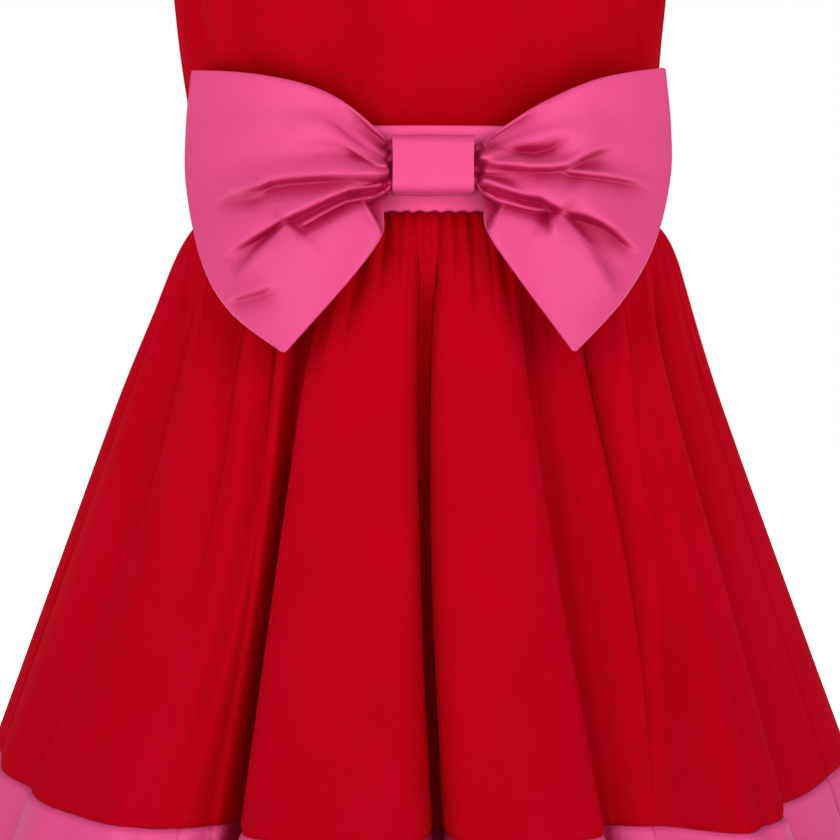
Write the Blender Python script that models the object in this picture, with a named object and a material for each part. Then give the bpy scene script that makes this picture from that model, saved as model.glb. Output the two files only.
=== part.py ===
"""Toddler party dress: sleeveless velvet bodice, satin waistband and bow, gathered velvet skirt
with a satin hem band, closed at the centre back with a concealed zip.

Units are metres and +Z is up. The front faces -Y and the wearer's left is at +X. The origin lies
midway between the shoulder straps, where the wearer carries the dress. Heights are negative below it.
"""

import math

import bmesh
import bpy
import numpy as np

# Heights
NECK_POINT_Z = 0.0070
SHOULDER_SLOPE = 0.30
UNDERARM_Z = -0.113
BAND_TOP_Z = -0.184
SKIRT_TOP_Z = -0.220
HEM_SEAM_DROP = 0.241
HEM_EDGE_DROP = 0.293
HEM_SIDE_RISE = 0.012

# Cloth
VELVET_THICKNESS = 0.0012
SATIN_THICKNESS = 0.0012
WAISTBAND_THICKNESS = 0.0014
WAISTBAND_OUT = 0.0002
WAISTBAND_COLUMNS = 45
SEAM_GAP = 0.0003
LEAST_MITRE = 0.55
SHARP_EDGE_ANGLE = 50.0

# Girth: half width and half depth of the body at each height
GIRTH = (
    # height, half width, half depth
    (-0.226, 0.0994, 0.0764),
    (-0.220, 0.0995, 0.0765),
    (-0.184, 0.1015, 0.0780),
    (-0.148, 0.1055, 0.0808),
    (-0.113, 0.1090, 0.0830),
    (0.010, 0.1120, 0.0850),
)
CHEST_SQUARENESS = 0.14
WAIST_SHIFT = 0.0030
WAIST_SHIFT_REACH = 0.085
SIDE_SEAM_ANGLE = 80.0

# Neck, shoulder and armhole
NECK_HALF_WIDTH = 0.060
SHOULDER_TIP_X = 0.102
FRONT_NECK_Z = -0.052
BACK_NECK_Z = -0.016
CHEST_FALL = 0.112
SHOULDER_ROUNDING = 1.9
FRONT_ARMHOLE_PULL = 52.0
BACK_ARMHOLE_PULL = 55.0
ARMHOLE_PULL_DROP = 0.050
ARMHOLE_SWING = 5.0
ARMHOLE_SHARES = (0.0, 0.12, 0.27, 0.42, 0.55, 0.66, 0.76, 0.85, 0.93, 1.0)
NECK_STEPS = 7
BODICE_RISES = (0.0, 0.22, 0.42, 0.58, 0.71, 0.81, 0.89, 0.945, 0.985, 1.0)

# Skirt flare
SIDE_FLARE = 0.361
FRONT_FLARE = 0.340
SIDE_PUFF = 0.0055
FRONT_PUFF = 0.0050
PUFF_DROP = 0.0080
GATHERS = 108
GATHER_HEIGHT = 0.0011
SHORT_GATHER = 0.010
LONG_GATHER = 0.060
GATHER_SWING = 2.4
SKIRT_ROWS = (0.0, 0.005, 0.014, 0.028, 0.050, 0.085, 0.130, 0.182, HEM_SEAM_DROP)

# One row for each fold of the skirt, from the centre front towards the wearer's left and round. The
# valley's angle at the hem, its sway to the side halfway down and the half width of its floor are in
# degrees. A wall of 0.4 on its side is steep and one of 1.5 is gentle. Its depths, and the crests of the
# lobe that follows it, are in metres from the skirt's smooth outline.
FOLDS = (
    # gathers to the next, hem angle, sway, upper depth, hem depth, wall before, wall after, floor,
    # upper crest, hem crest
    (7, 2.3, -1.2, 0.0160, 0.0290, 0.15, 0.15, 0.8, 0.000, 0.003),
    (5, 23.6, -1.0, 0.0250, 0.0240, 0.16, 1.20, 0.8, -0.021, -0.021),
    (4, 30.0, 5.0, 0.0180, 0.0130, 1.00, 0.30, 0.0, 0.000, -0.012),
    (3, 37.0, 3.0, 0.0035, -0.0180, 2.00, 2.00, 0.0, 0.000, 0.012),
    (5, 47.5, 2.0, 0.0120, 0.0060, 0.22, 1.60, 0.0, -0.001, -0.004),
    (4, 66.0, 0.0, 0.0020, 0.0040, 1.70, 1.70, 0.0, -0.001, -0.001),
    (5, 88.0, 0.0, 0.0050, 0.0010, 1.40, 1.40, 0.0, 0.000, 0.001),
    (5, 107.0, 1.5, 0.0080, 0.0220, 0.55, 0.80, 1.0, 0.000, 0.002),
    (5, 124.0, 0.0, 0.0060, 0.0090, 1.00, 1.00, 0.0, -0.001, 0.004),
    (6, 141.5, -2.0, 0.0090, 0.0280, 0.80, 0.35, 1.5, 0.000, 0.003),
    (5, 163.0, 0.0, 0.0060, 0.0110, 0.90, 0.90, 0.0, 0.000, 0.003),
    (5, 180.5, 0.0, 0.0030, 0.0200, 0.60, 0.60, 0.0, 0.000, 0.001),
    (6, 198.0, 2.0, 0.0080, 0.0150, 0.90, 0.70, 0.5, 0.000, 0.003),
    (5, 217.0, 0.0, 0.0085, 0.0280, 0.35, 0.80, 1.5, 0.000, 0.002),
    (5, 234.0, -2.0, 0.0060, 0.0110, 1.00, 1.00, 0.0, -0.001, 0.003),
    (5, 250.0, 0.0, 0.0080, 0.0210, 0.80, 0.40, 1.0, 0.000, 0.001),
    (4, 263.0, 0.0, 0.0060, 0.0080, 1.40, 1.40, 0.0, 0.000, 0.000),
    (4, 281.0, 0.0, 0.0040, 0.0040, 1.60, 1.60, 0.0, -0.001, -0.002),
    (6, 300.0, 8.0, 0.0100, 0.0060, 1.60, 0.70, 0.0, -0.001, 0.000),
    (3, 322.0, 4.5, 0.0110, -0.0020, 1.40, 0.40, 0.0, -0.004, -0.001),
    (3, 330.0, 3.0, 0.0140, 0.0080, 1.40, 0.35, 0.0, -0.008, -0.018),
    (8, 336.0, 0.0, 0.0200, 0.0360, 1.20, 0.16, 1.0, 0.000, 0.003),
)
VALLEY_ROUNDING = 0.12
FOLD_OPENING = 0.050
FLOOR_FLARE = 3.0
FLOOR_FLARE_DROP = 0.060
CROWDING = 0.75
CROWDING_DROP = 0.193
FAN_DROP = 0.070
PLEAT_HEIGHT = 0.0009
PLEAT_DROP = 0.045
PLEAT_SWING = 2.3
PLEAT_UNEVENNESS = 1.2
PLEAT_DRIFT = 0.9

# Bow
KNOT_X = 0.0054
KNOT_Z = -0.2011
KNOT_WIDTH = 0.0335
KNOT_HEIGHT = 0.0226
KNOT_STAND = 0.0146
KNOT_BEND = 0.004
KNOT_CROWN = 0.0006
BOW_STAND = 0.0866
BOW_LEAN = 0.0270
BOW_LEAN_START = 0.26
BOW_WRAP = 0.0340
BOW_HALF_SPAN = 0.095
BOW_DROP = 0.075
FOLD_RADIUS = 0.0013
LOOP_HOLLOW = 0.0062

# Outline of each wing, out from the knot's centre and up from it
WING_EDGES = {
    "right": {
        "top": ((0.0100, 0.0070), (0.0168, 0.0088), (0.0337, 0.0235), (0.0499, 0.0323),
                (0.0738, 0.0388), (0.1012, 0.0438)),
        "outer": ((0.1012, 0.0438), (0.1038, 0.0200), (0.1034, -0.0050), (0.0949, -0.0380),
                  (0.0812, -0.0596), (0.0588, -0.0762)),
        "bottom": ((0.0100, -0.0080), (0.0172, -0.0098), (0.0200, -0.0193), (0.0210, -0.0296),
                   (0.0340, -0.0479), (0.0588, -0.0762)),
    },
    "left": {
        "top": ((0.0100, 0.0065), (0.0171, 0.0076), (0.0310, 0.0169), (0.0448, 0.0255),
                (0.0680, 0.0363), (0.0970, 0.0442)),
        "outer": ((0.0970, 0.0442), (0.0996, 0.0200), (0.0991, -0.0020), (0.0909, -0.0300),
                  (0.0762, -0.0540), (0.0552, -0.0758)),
        "bottom": ((0.0100, -0.0078), (0.0170, -0.0089), (0.0206, -0.0150), (0.0215, -0.0270),
                   (0.0350, -0.0479), (0.0552, -0.0758)),
    },
}

# Folds pressed into each wing's front layer: place across the wing from its top edge, place out from
# the knot where it is deepest, and depth
WING_PLEATS = {
    "right": ((0.143, 0.25, 0.0035), (0.429, 0.45, 0.0060), (0.714, 0.40, 0.0055)),
    "left": ((0.143, 0.30, 0.0030), (0.429, 0.50, 0.0060), (0.714, 0.45, 0.0060)),
}
WING_PUFF = 0.0060
PLEAT_WIDTH = 0.075
PLEATS_AT_KNOT = 3.5
KNOT_PLEAT_HEIGHT = 0.0013
KNOT_PLEAT_REACH = 0.22
OUTER_FOLD_REACH = 0.35
WING_STEPS = 14
WING_FRONT_ROWS = (0.0, 0.10, 0.20, 0.30, 0.42, 0.56, 0.70, 0.84, 0.94)
WING_BACK_ROWS = (0.90, 0.70, 0.45, 0.20, 0.0)

# Zip
ZIP_TOP_CLEARANCE = 0.006
ZIP_END_DROP = 0.060
ZIP_TAPE_WIDTH = 0.022
ZIP_TAPE_THICKNESS = 0.0010
ZIP_TAPE_GAP = 0.0009
ZIP_TAPE_CLEARANCE = 0.006
ZIP_TAPE_STEP = 0.0005
SLIDER_WIDTH = 0.0050
SLIDER_THICKNESS = 0.0016
SLIDER_ABOVE_PIN = 0.0030
SLIDER_BELOW_PIN = 0.0060
SLIDER_CORNER = 0.0012
PIN_BELOW_ZIP_TOP = 0.0050
PIN_THICKNESS = 0.0012
BRIDGE_WIDTH = 0.0014
BRIDGE_INNER_RADIUS = 0.0012
BRIDGE_OUTER_RADIUS = 0.0022
BRIDGE_FOOT = 0.0004
PULL_WIDTH = 0.0054
PULL_LENGTH = 0.0170
PULL_EYE_LENGTH = 0.0030
PULL_CORNER = 0.0011
PULL_EYE_CORNER = 0.0003
RUNNING_GAP = 0.0003

COLOURS = {
    # finish: linear red, green and blue, roughness, metallic
    "velvet": ((0.48, 0.0, 0.008), 0.85, 0.0),
    "satin": ((0.80, 0.10, 0.27), 0.45, 0.0),
    "zip_tape": ((0.35, 0.0, 0.010), 0.80, 0.0),
    "zip_metal": ((0.55, 0.02, 0.03), 0.35, 0.6),
}


def clear_scene():
    for obj in list(bpy.data.objects):
        bpy.data.objects.remove(obj)


def ease(x):
    """Rises smoothly from 0 to 1 as x goes from 0 to 1."""
    x = min(max(x, 0.0), 1.0)
    return x * x * (3 - 2 * x)


def signed_power(value, power):
    return math.copysign(abs(value) ** power, value)


def spline(points, at):
    """Point at share `at` of a smooth curve through the points."""
    points = [np.array(p, float) for p in points]
    spans = len(points) - 1
    index = min(int(at * spans), spans - 1)
    t = at * spans - index
    a = points[max(index - 1, 0)]
    b, c = points[index], points[index + 1]
    d = points[min(index + 2, spans)]
    return 0.5 * (2 * b + (c - a) * t + (2 * a - 5 * b + 4 * c - d) * t**2 + (3 * b - a - 3 * c + d) * t**3)


def girth(z):
    """Half width and half depth of the body at height z."""
    heights = [row[0] for row in GIRTH]
    wide = np.interp(z, heights, [row[1] for row in GIRTH])
    deep = np.interp(z, heights, [row[2] for row in GIRTH])
    return float(wide), float(deep)


def centre_x(z):
    """The waist stands a little to the wearer's left of the shoulders and the hem."""
    away = abs(z - SKIRT_TOP_Z) / WAIST_SHIFT_REACH
    return WAIST_SHIFT * (1 - ease(away))


def squareness(z):
    """Power of the body's cross-section: 1 is an ellipse, and less is squarer, as the chest is."""
    return 1 - CHEST_SQUARENESS * ease((z - BAND_TOP_Z) / (UNDERARM_Z - BAND_TOP_Z))


def body_point(angle, z, out=0.0, depth_share=1.0):
    """Point of the body at an angle in degrees from the centre front, and at height z."""
    wide, deep = girth(z)
    power = squareness(z)
    turn = math.radians(angle)
    x = centre_x(z) + (wide + out) * signed_power(math.sin(turn), power)
    y = -(deep + out) * depth_share * signed_power(math.cos(turn), power)
    return np.array((x, y, z))


def grid_normals(grid, closed):
    """Outward unit normals of a grid of points [rows, from the bottom up][columns, counter-clockwise],
    and how far a corner is sharpened, so that the wall keeps its thickness at folds."""
    up = np.gradient(grid, axis=0)
    if closed:
        step = np.roll(grid, -1, axis=1) - grid
    else:
        step = np.diff(grid, axis=1)
        step = np.concatenate([step, step[:, -1:]], axis=1)
    facing = np.cross(step, up)
    facing /= np.linalg.norm(facing, axis=2, keepdims=True)
    before = np.roll(facing, 1, axis=1)
    if not closed:
        before[:, 0] = facing[:, 0]
    normals = facing + before
    normals /= np.linalg.norm(normals, axis=2, keepdims=True)
    sharpness = np.clip((normals * facing).sum(axis=2, keepdims=True), LEAST_MITRE, 1.0)
    return normals / sharpness


def material(finish):
    found = bpy.data.materials.get(finish)
    if found:
        return found
    colour, roughness, metallic = COLOURS[finish]
    found = bpy.data.materials.new(finish)
    found.use_nodes = True
    shader = found.node_tree.nodes["Principled BSDF"]
    shader.inputs["Base Color"].default_value = (*colour, 1.0)
    shader.inputs["Roughness"].default_value = roughness
    shader.inputs["Metallic"].default_value = metallic
    return found


def add_object(name, points, faces, finish):
    mesh = bpy.data.meshes.new(name)
    mesh.from_pydata([tuple(p) for p in points], [], faces)
    mesh.materials.append(material(finish))
    mesh.shade_smooth()
    mesh.set_sharp_from_angle(angle=math.radians(SHARP_EDGE_ANGLE))
    obj = bpy.data.objects.new(name, mesh)
    bpy.context.scene.collection.objects.link(obj)
    return obj


def wall(name, grid, normals, thickness, finish):
    """A closed cloth wall whose middle runs through the grid of points."""
    rows, columns = grid.shape[:2]
    outer = grid + normals * thickness / 2
    inner = grid - normals * thickness / 2
    points = list(outer.reshape(-1, 3)) + list(inner.reshape(-1, 3))
    inside = rows * columns
    faces = []

    def quad(a, b, c, d):
        faces.append((a, b, c))
        faces.append((a, c, d))

    for row in range(rows - 1):
        for column in range(columns - 1):
            a = row * columns + column
            b, c, d = a + 1, a + columns + 1, a + columns
            quad(a, b, c, d)
            faces.append((inside + a, inside + c, inside + b))
            faces.append((inside + a, inside + d, inside + c))
    for column in range(columns - 1):
        low = column
        quad(low + 1, low, inside + low, inside + low + 1)
        high = (rows - 1) * columns + column
        quad(high, high + 1, inside + high + 1, inside + high)
    for row in range(rows - 1):
        start = row * columns
        quad(start, start + columns, inside + start + columns, inside + start)
        end = start + columns - 1
        quad(end + columns, end, inside + end, inside + end + columns)
    return add_object(name, points, faces, finish)


def part_at_seams(grid, normals):
    """Moves a panel's side edges in along its rows by half the seam gap."""
    moved = grid.copy()
    for edge, beside in ((0, 1), (-1, -2)):
        along = moved[:, beside] - moved[:, edge]
        square = normals[:, edge] / np.linalg.norm(normals[:, edge], axis=1, keepdims=True)
        along -= square * (along * square).sum(axis=1, keepdims=True)
        along /= np.linalg.norm(along, axis=1, keepdims=True)
        moved[:, edge] += along * SEAM_GAP / 2
    return moved


# Bodice


def shoulder_z(x):
    """Height of the shoulder line, which runs on over the neck in a smooth arch."""
    x = abs(x)
    if x < NECK_HALF_WIDTH:
        return NECK_POINT_Z + SHOULDER_SLOPE * (NECK_HALF_WIDTH**2 - x**2) / (2 * NECK_HALF_WIDTH)
    return NECK_POINT_Z - SHOULDER_SLOPE * (x - NECK_HALF_WIDTH)


def bodice_point(angle, z):
    """Point of the bodice at an angle from its own middle, in the half that faces -Y."""
    point = body_point(angle, z)
    below = (shoulder_z(point[0]) - z) / CHEST_FALL
    below = min(max(below, 0.0), 1.0)
    share = (1 - (1 - below) ** SHOULDER_ROUNDING) ** (1 / SHOULDER_ROUNDING)
    return body_point(angle, z, depth_share=share)


def angle_at(x, z):
    wide = girth(z)[0]
    return math.degrees(math.asin(min(abs(x) / wide, 1.0) ** (1 / squareness(z))))


def bodice_edge(neck_z, armhole_pull, side_angle):
    """Top edge of half a bodice as (angle, height) points: neck, then shoulder, then armhole."""
    edge = []
    for step in range(NECK_STEPS):
        turn = math.radians(90 * step / NECK_STEPS)
        x = NECK_HALF_WIDTH * math.sin(turn)
        z = NECK_POINT_Z + (neck_z - NECK_POINT_Z) * math.cos(turn)
        edge.append((angle_at(x, z), z))
    for share in (0.0, 0.5):
        x = NECK_HALF_WIDTH + (SHOULDER_TIP_X - NECK_HALF_WIDTH) * share
        edge.append((angle_at(x, shoulder_z(x)), shoulder_z(x)))
    tip = (angle_at(SHOULDER_TIP_X, shoulder_z(SHOULDER_TIP_X)), shoulder_z(SHOULDER_TIP_X))
    pulled = (armhole_pull - ARMHOLE_SWING, tip[1] - ARMHOLE_PULL_DROP)
    hollow = (armhole_pull + ARMHOLE_SWING, UNDERARM_Z)
    low = (side_angle, UNDERARM_Z)
    for share in ARMHOLE_SHARES:
        rest = 1 - share
        weights = (rest**3, 3 * rest**2 * share, 3 * rest * share**2, share**3)
        corners = (tip, pulled, hollow, low)
        edge.append(tuple(sum(w * c[i] for w, c in zip(weights, corners)) for i in range(2)))
    return edge


def half_bodice(neck_z, armhole_pull, side_angle):
    """Grid of half a bodice panel, from its middle out to the side seam."""
    top = bodice_edge(neck_z, armhole_pull, side_angle)
    bottom_z = BAND_TOP_Z + SEAM_GAP / 2
    grid = np.zeros((len(BODICE_RISES), len(top), 3))
    for column, (top_angle, top_z) in enumerate(top):
        bottom_angle = side_angle * column / (len(top) - 1)
        for row, share in enumerate(BODICE_RISES):
            angle = bottom_angle + (top_angle - bottom_angle) * ease(share)
            z = bottom_z + (top_z - bottom_z) * share
            grid[row, column] = bodice_point(angle, z)
    return grid


def mirrored(grid):
    """The other half of a grid, in column order, without the middle column."""
    other = grid[:, :0:-1].copy()
    for row in other:
        for point in row:
            point[0] = 2 * centre_x(point[2]) - point[0]
    return other


def turned_to_back(grid):
    """A grid that was made facing -Y, turned to face +Y by half a turn about the middle."""
    turned = grid.copy()
    for row in turned:
        for point in row:
            point[0] = 2 * centre_x(point[2]) - point[0]
    turned[:, :, 1] *= -1
    return turned


def settle_shoulder(grid, normals, toward):
    """Squares the wall's end at the shoulder seam, half a seam gap from the seam."""
    x = np.abs(grid[-1, :, 0])
    on_seam = np.abs(grid[-1, :, 1]) < 1e-6
    on_seam &= x > NECK_HALF_WIDTH / 2
    slope = np.array((0.0, 0.0, 1.0))
    for column in np.nonzero(on_seam)[0]:
        grid[-1, column, 1] = toward * SEAM_GAP / 2
        tilt = slope + (math.copysign(SHOULDER_SLOPE, grid[-1, column, 0]), 0.0, 0.0)
        normals[-1, column] = tilt / np.linalg.norm(tilt)


def build_bodice():
    half = half_bodice(FRONT_NECK_Z, FRONT_ARMHOLE_PULL, SIDE_SEAM_ANGLE)
    front = np.concatenate([mirrored(half), half], axis=1)
    normals = grid_normals(front, closed=False)
    settle_shoulder(front, normals, -1)
    front = part_at_seams(front, normals)
    wall("bodice_front", front, normals, VELVET_THICKNESS, "velvet")

    half = half_bodice(BACK_NECK_Z, BACK_ARMHOLE_PULL, 180 - SIDE_SEAM_ANGLE)
    whole = turned_to_back(np.concatenate([mirrored(half), half], axis=1))
    normals = grid_normals(whole, closed=False)
    settle_shoulder(whole, normals, 1)
    middle = half.shape[1] - 1
    for name, columns in (
        ("bodice_back_left", slice(0, middle + 1)),
        ("bodice_back_right", slice(middle, None)),
    ):
        panel = part_at_seams(whole[:, columns], normals[:, columns])
        wall(name, panel, normals[:, columns], VELVET_THICKNESS, "velvet")


# Waistband


def build_waistband():
    steps = WAISTBAND_COLUMNS
    heights = np.linspace(SKIRT_TOP_Z + SEAM_GAP / 2, BAND_TOP_Z - SEAM_GAP / 2, 3)
    grid = np.zeros((3, steps, 3))
    for row, z in enumerate(heights):
        for column in range(steps):
            grid[row, column] = body_point(360.0 * column / steps, z, WAISTBAND_OUT)
    normals = grid_normals(grid, closed=True)
    side = round(steps * SIDE_SEAM_ANGLE / 360)
    for name, first, last in (
        ("waistband_front", -side, side),
        ("waistband_back_left", side, steps // 2),
        ("waistband_back_right", steps // 2, steps - side),
    ):
        columns = [c % steps for c in range(first, last + 1)]
        panel = part_at_seams(grid[:, columns], normals[:, columns])
        wall(name, panel, normals[:, columns], WAISTBAND_THICKNESS, "satin")


# Skirt


def skirt_girth(drop):
    """Half width and half depth round the outside of the skirt's folds."""
    wide, deep = girth(SKIRT_TOP_Z)
    puff = 1 - math.exp(-drop / PUFF_DROP)
    return wide + SIDE_PUFF * puff + SIDE_FLARE * drop, deep + FRONT_PUFF * puff + FRONT_FLARE * drop


def fold_depth(upper, hem, drop):
    """A fold opens to its upper depth just below the gathers, then runs on to its depth at the hem."""
    if drop < FOLD_OPENING:
        return upper * ease(drop / FOLD_OPENING)
    return upper + (hem - upper) * (drop - FOLD_OPENING) / (HEM_SEAM_DROP - FOLD_OPENING)


def lobe(share, power):
    """Height of a lobe, from 0 at its two valleys to 1 at its crest."""
    wave = math.hypot(math.sin(math.pi * share), VALLEY_ROUNDING) - VALLEY_ROUNDING
    return (wave / (math.hypot(1, VALLEY_ROUNDING) - VALLEY_ROUNDING)) ** power


def gather(column, drop):
    """Small pleats drawn up by the gathering thread. Each dies out at its own height."""
    swing = (0.5 + 0.5 * math.sin(GATHER_SWING * column)) ** 3
    length = SHORT_GATHER + (LONG_GATHER - SHORT_GATHER) * swing
    height = GATHER_HEIGHT * math.exp(-drop / length)
    return height if column % 2 else -height


def pleat(column, drop):
    """Broader pleats, into which the gathers run together below the seam."""
    place = column / 2
    swing = math.sin(PLEAT_SWING * place + PLEAT_UNEVENNESS * math.sin(PLEAT_DRIFT * place))
    return PLEAT_HEIGHT * swing * math.exp(-drop / PLEAT_DROP) * (1 - math.exp(-drop / PUFF_DROP))


def skirt_point(column, drop):
    """Middle of the skirt's cloth. A gather has two columns, counted from the centre front."""
    total = 0
    place = column % (2 * GATHERS)
    for index, row in enumerate(FOLDS):
        if place < total + 2 * row[0]:
            break
        total += 2 * row[0]
    gathers, hem_angle, sway, upper, hem, _, steepness, floor, upper_crest, hem_crest = row
    following = FOLDS[(index + 1) % len(FOLDS)]
    columns = 2 * gathers
    share = (place - total) / columns
    share -= CROWDING * ease(drop / CROWDING_DROP) * math.sin(2 * math.pi * share) / (2 * math.pi)
    waist_angle = 180 / GATHERS * (total + columns * share)
    next_hem_angle = following[1] if index + 1 < len(FOLDS) else following[1] + 360
    width = next_hem_angle - hem_angle
    low_angle = hem_angle + width * share
    fan = (1 - math.exp(-drop / FAN_DROP)) / (1 - math.exp(-HEM_SEAM_DROP / FAN_DROP))
    bend = sway + (following[2] - sway) * share
    angle = waist_angle + (low_angle - waist_angle) * fan
    angle = math.radians(angle + bend * math.sin(math.pi * min(drop / HEM_SEAM_DROP, 1.0)))
    drop *= 1 - HEM_SIDE_RISE / HEM_SEAM_DROP * math.sin(math.radians(low_angle)) ** 6
    blend = ease(share)
    start_depth = fold_depth(upper, hem, drop)
    end_depth = fold_depth(following[3], following[4], drop)
    depth = start_depth * (1 - blend) + end_depth * blend
    rise = max(fold_depth(upper_crest, hem_crest, drop) + depth, 0.0)
    power = steepness + (following[5] - steepness) * blend
    flare = (1 + FLOOR_FLARE * math.exp(-drop / FLOOR_FLARE_DROP)) / width
    start_floor, end_floor = floor * flare, following[7] * flare
    lifted = (share - start_floor) / (1 - start_floor - end_floor)
    out = rise * lobe(min(max(lifted, 0.0), 1.0), power) - depth
    out += gather(place, drop) + pleat(place, drop)
    wide, deep = skirt_girth(drop)
    z = SKIRT_TOP_Z - drop
    across = np.array((math.sin(angle) * deep, -math.cos(angle) * wide, 0.0))
    across /= np.linalg.norm(across)
    start = np.array((centre_x(z) + wide * math.sin(angle), -deep * math.cos(angle), z))
    return start + across * out


def level_top(normals):
    """Turns the normals of the top row level, so that the wall ends square under the waistband."""
    level = normals[-1] * (1.0, 1.0, 0.0)
    length = np.linalg.norm(normals[-1], axis=1) / np.linalg.norm(level, axis=1)
    normals[-1] = level * length[:, None]


def build_skirt():
    columns = 2 * GATHERS
    side = round(columns * SIDE_SEAM_ANGLE / 360)
    back = columns // 2
    half_gap = SEAM_GAP / 2

    def ring(drops):
        grid = np.array([[skirt_point(c, drop) for c in range(columns)] for drop in drops])
        return grid, grid_normals(grid, closed=True)

    def panel(name, grid, normals, first, last, thickness, finish):
        chosen = [c % columns for c in range(first, last + 1)]
        edged = part_at_seams(grid[:, chosen], normals[:, chosen])
        wall(name, edged, normals[:, chosen], thickness, finish)

    drops = list(SKIRT_ROWS)
    drops[0] += half_gap
    drops[-1] -= half_gap
    grid, normals = ring(drops[::-1])
    level_top(normals)
    panel("skirt_front", grid, normals, -side, side, VELVET_THICKNESS, "velvet")
    panel("skirt_back_left", grid, normals, side, back, VELVET_THICKNESS, "velvet")
    panel("skirt_back_right", grid, normals, back, columns - side, VELVET_THICKNESS, "velvet")

    grid, normals = ring((HEM_EDGE_DROP, HEM_SEAM_DROP + half_gap))
    panel("hem_band_front", grid, normals, -side, side, SATIN_THICKNESS, "satin")
    panel("hem_band_back", grid, normals, side, columns - side, SATIN_THICKNESS, "satin")


# Bow


def bow_stand(out, up):
    """How far in front of the origin the bow's front layer stands."""
    span = out / BOW_HALF_SPAN
    drop = max(-up, 0.0) / BOW_DROP
    return BOW_STAND + BOW_LEAN * drop * ease(span / BOW_LEAN_START) - BOW_WRAP * span**3


def wing_plane(edges, along, across):
    """Place in the bow's plane: along goes from the knot to the outer fold, across from the top down."""
    top, bottom = spline(edges["top"], along), spline(edges["bottom"], along)
    outer = spline(edges["outer"], across)
    knot_top, knot_bottom = np.array(edges["top"][0]), np.array(edges["bottom"][0])
    tip_top, tip_bottom = np.array(edges["outer"][0]), np.array(edges["outer"][-1])
    knot = knot_top + (knot_bottom - knot_top) * across
    ruled = knot * (1 - along) + outer * along + top * (1 - across) + bottom * across
    corners = (knot_top * (1 - across) + knot_bottom * across) * (1 - along)
    corners += (tip_top * (1 - across) + tip_bottom * across) * along
    return ruled - corners


def wing_relief(pleats, along, across):
    """Height of the front layer over its plane: a soft swell with pleats that fan from the knot."""
    edge = math.sin(math.pi * across) ** 0.6
    relief = WING_PUFF * edge * math.sin(math.pi * along) ** 0.8
    for place, deepest, depth in pleats:
        reach = math.sin(math.pi * along ** (math.log(0.5) / math.log(deepest))) ** 0.8
        relief -= depth * reach * math.exp(-(((across - place) / PLEAT_WIDTH) ** 2))
    held = 1 - ease(along / KNOT_PLEAT_REACH)
    return relief + KNOT_PLEAT_HEIGHT * held * math.cos(2 * math.pi * across * PLEATS_AT_KNOT)


def wing_point(side, edges, pleats, along, across, layer):
    """layer is 0 on the front of the loop and 1 on its back."""
    out, up = wing_plane(edges, along, across)
    stand = bow_stand(out, up)
    opened = ease((1 - along) / OUTER_FOLD_REACH)
    depth = 2 * FOLD_RADIUS + (LOOP_HOLLOW - 2 * FOLD_RADIUS) * opened
    front = stand + wing_relief(pleats, along, across)
    back = stand - depth
    y = -(front * (1 - layer) + back * layer)
    return np.array((KNOT_X + side * out, y, KNOT_Z + up))


def build_wing(name, side, edges, pleats):
    shares = [step / WING_STEPS for step in range(WING_STEPS + 1)]
    rows = [[wing_point(side, edges, pleats, along, w, 0) for w in shares] for along in WING_FRONT_ROWS]
    for layer in (0.0, 0.5, 1.0):
        fold = [wing_point(side, edges, pleats, 1.0, w, layer) for w in shares]
        if layer == 0.5:
            fold = [p + (side * FOLD_RADIUS, 0.0, 0.0) for p in fold]
        rows.append(fold)
    rows += [[wing_point(side, edges, pleats, along, w, 1) for w in shares] for along in WING_BACK_ROWS]
    grid = np.array(rows)[:, ::-side].transpose(1, 0, 2)
    wall(name, grid, grid_normals(grid, closed=False), SATIN_THICKNESS, "satin")


def build_knot():
    """A band wrapped over the middle of the bow, down to the waistband above and below it."""
    half = KNOT_HEIGHT / 2
    sash_front = -body_point(0, KNOT_Z + half, WAISTBAND_OUT + WAISTBAND_THICKNESS / 2)[1]
    front = sash_front + KNOT_STAND
    back = sash_front + SEAM_GAP
    profile = [(back, half)]
    for step in range(4):
        turn = math.radians(90 * step / 3)
        stand = front - KNOT_BEND + KNOT_BEND * math.sin(turn)
        profile.append((stand, half - KNOT_BEND + KNOT_BEND * math.cos(turn)))
    profile.append((front + KNOT_CROWN, 0.0))
    profile += [(stand, -up) for stand, up in reversed(profile[:-1])]
    columns = np.linspace(-KNOT_WIDTH / 2, KNOT_WIDTH / 2, 6)
    grid = np.zeros((len(profile), len(columns), 3))
    for row, (stand, up) in enumerate(reversed(profile)):
        for column, x in enumerate(columns):
            grid[row, column] = (KNOT_X + x, -stand, KNOT_Z + up)
    normals = grid_normals(grid, closed=False)
    wall("bow_knot", grid, normals, SATIN_THICKNESS, "satin")


def build_bow():
    """Two loops of satin, held in at the middle by the knot."""
    build_wing("bow_wing_right", -1, WING_EDGES["right"], WING_PLEATS["right"])
    build_wing("bow_wing_left", 1, WING_EDGES["left"], WING_PLEATS["left"])
    build_knot()


# Zip


def back_depth(z):
    """How far behind the origin the middle of the cloth stands beside the centre back seam."""
    if z > SKIRT_TOP_Z:
        return -bodice_point(0.0, z)[1]
    return min(skirt_point(GATHERS + beside, SKIRT_TOP_Z - z)[1] for beside in range(-5, 6))


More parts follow.
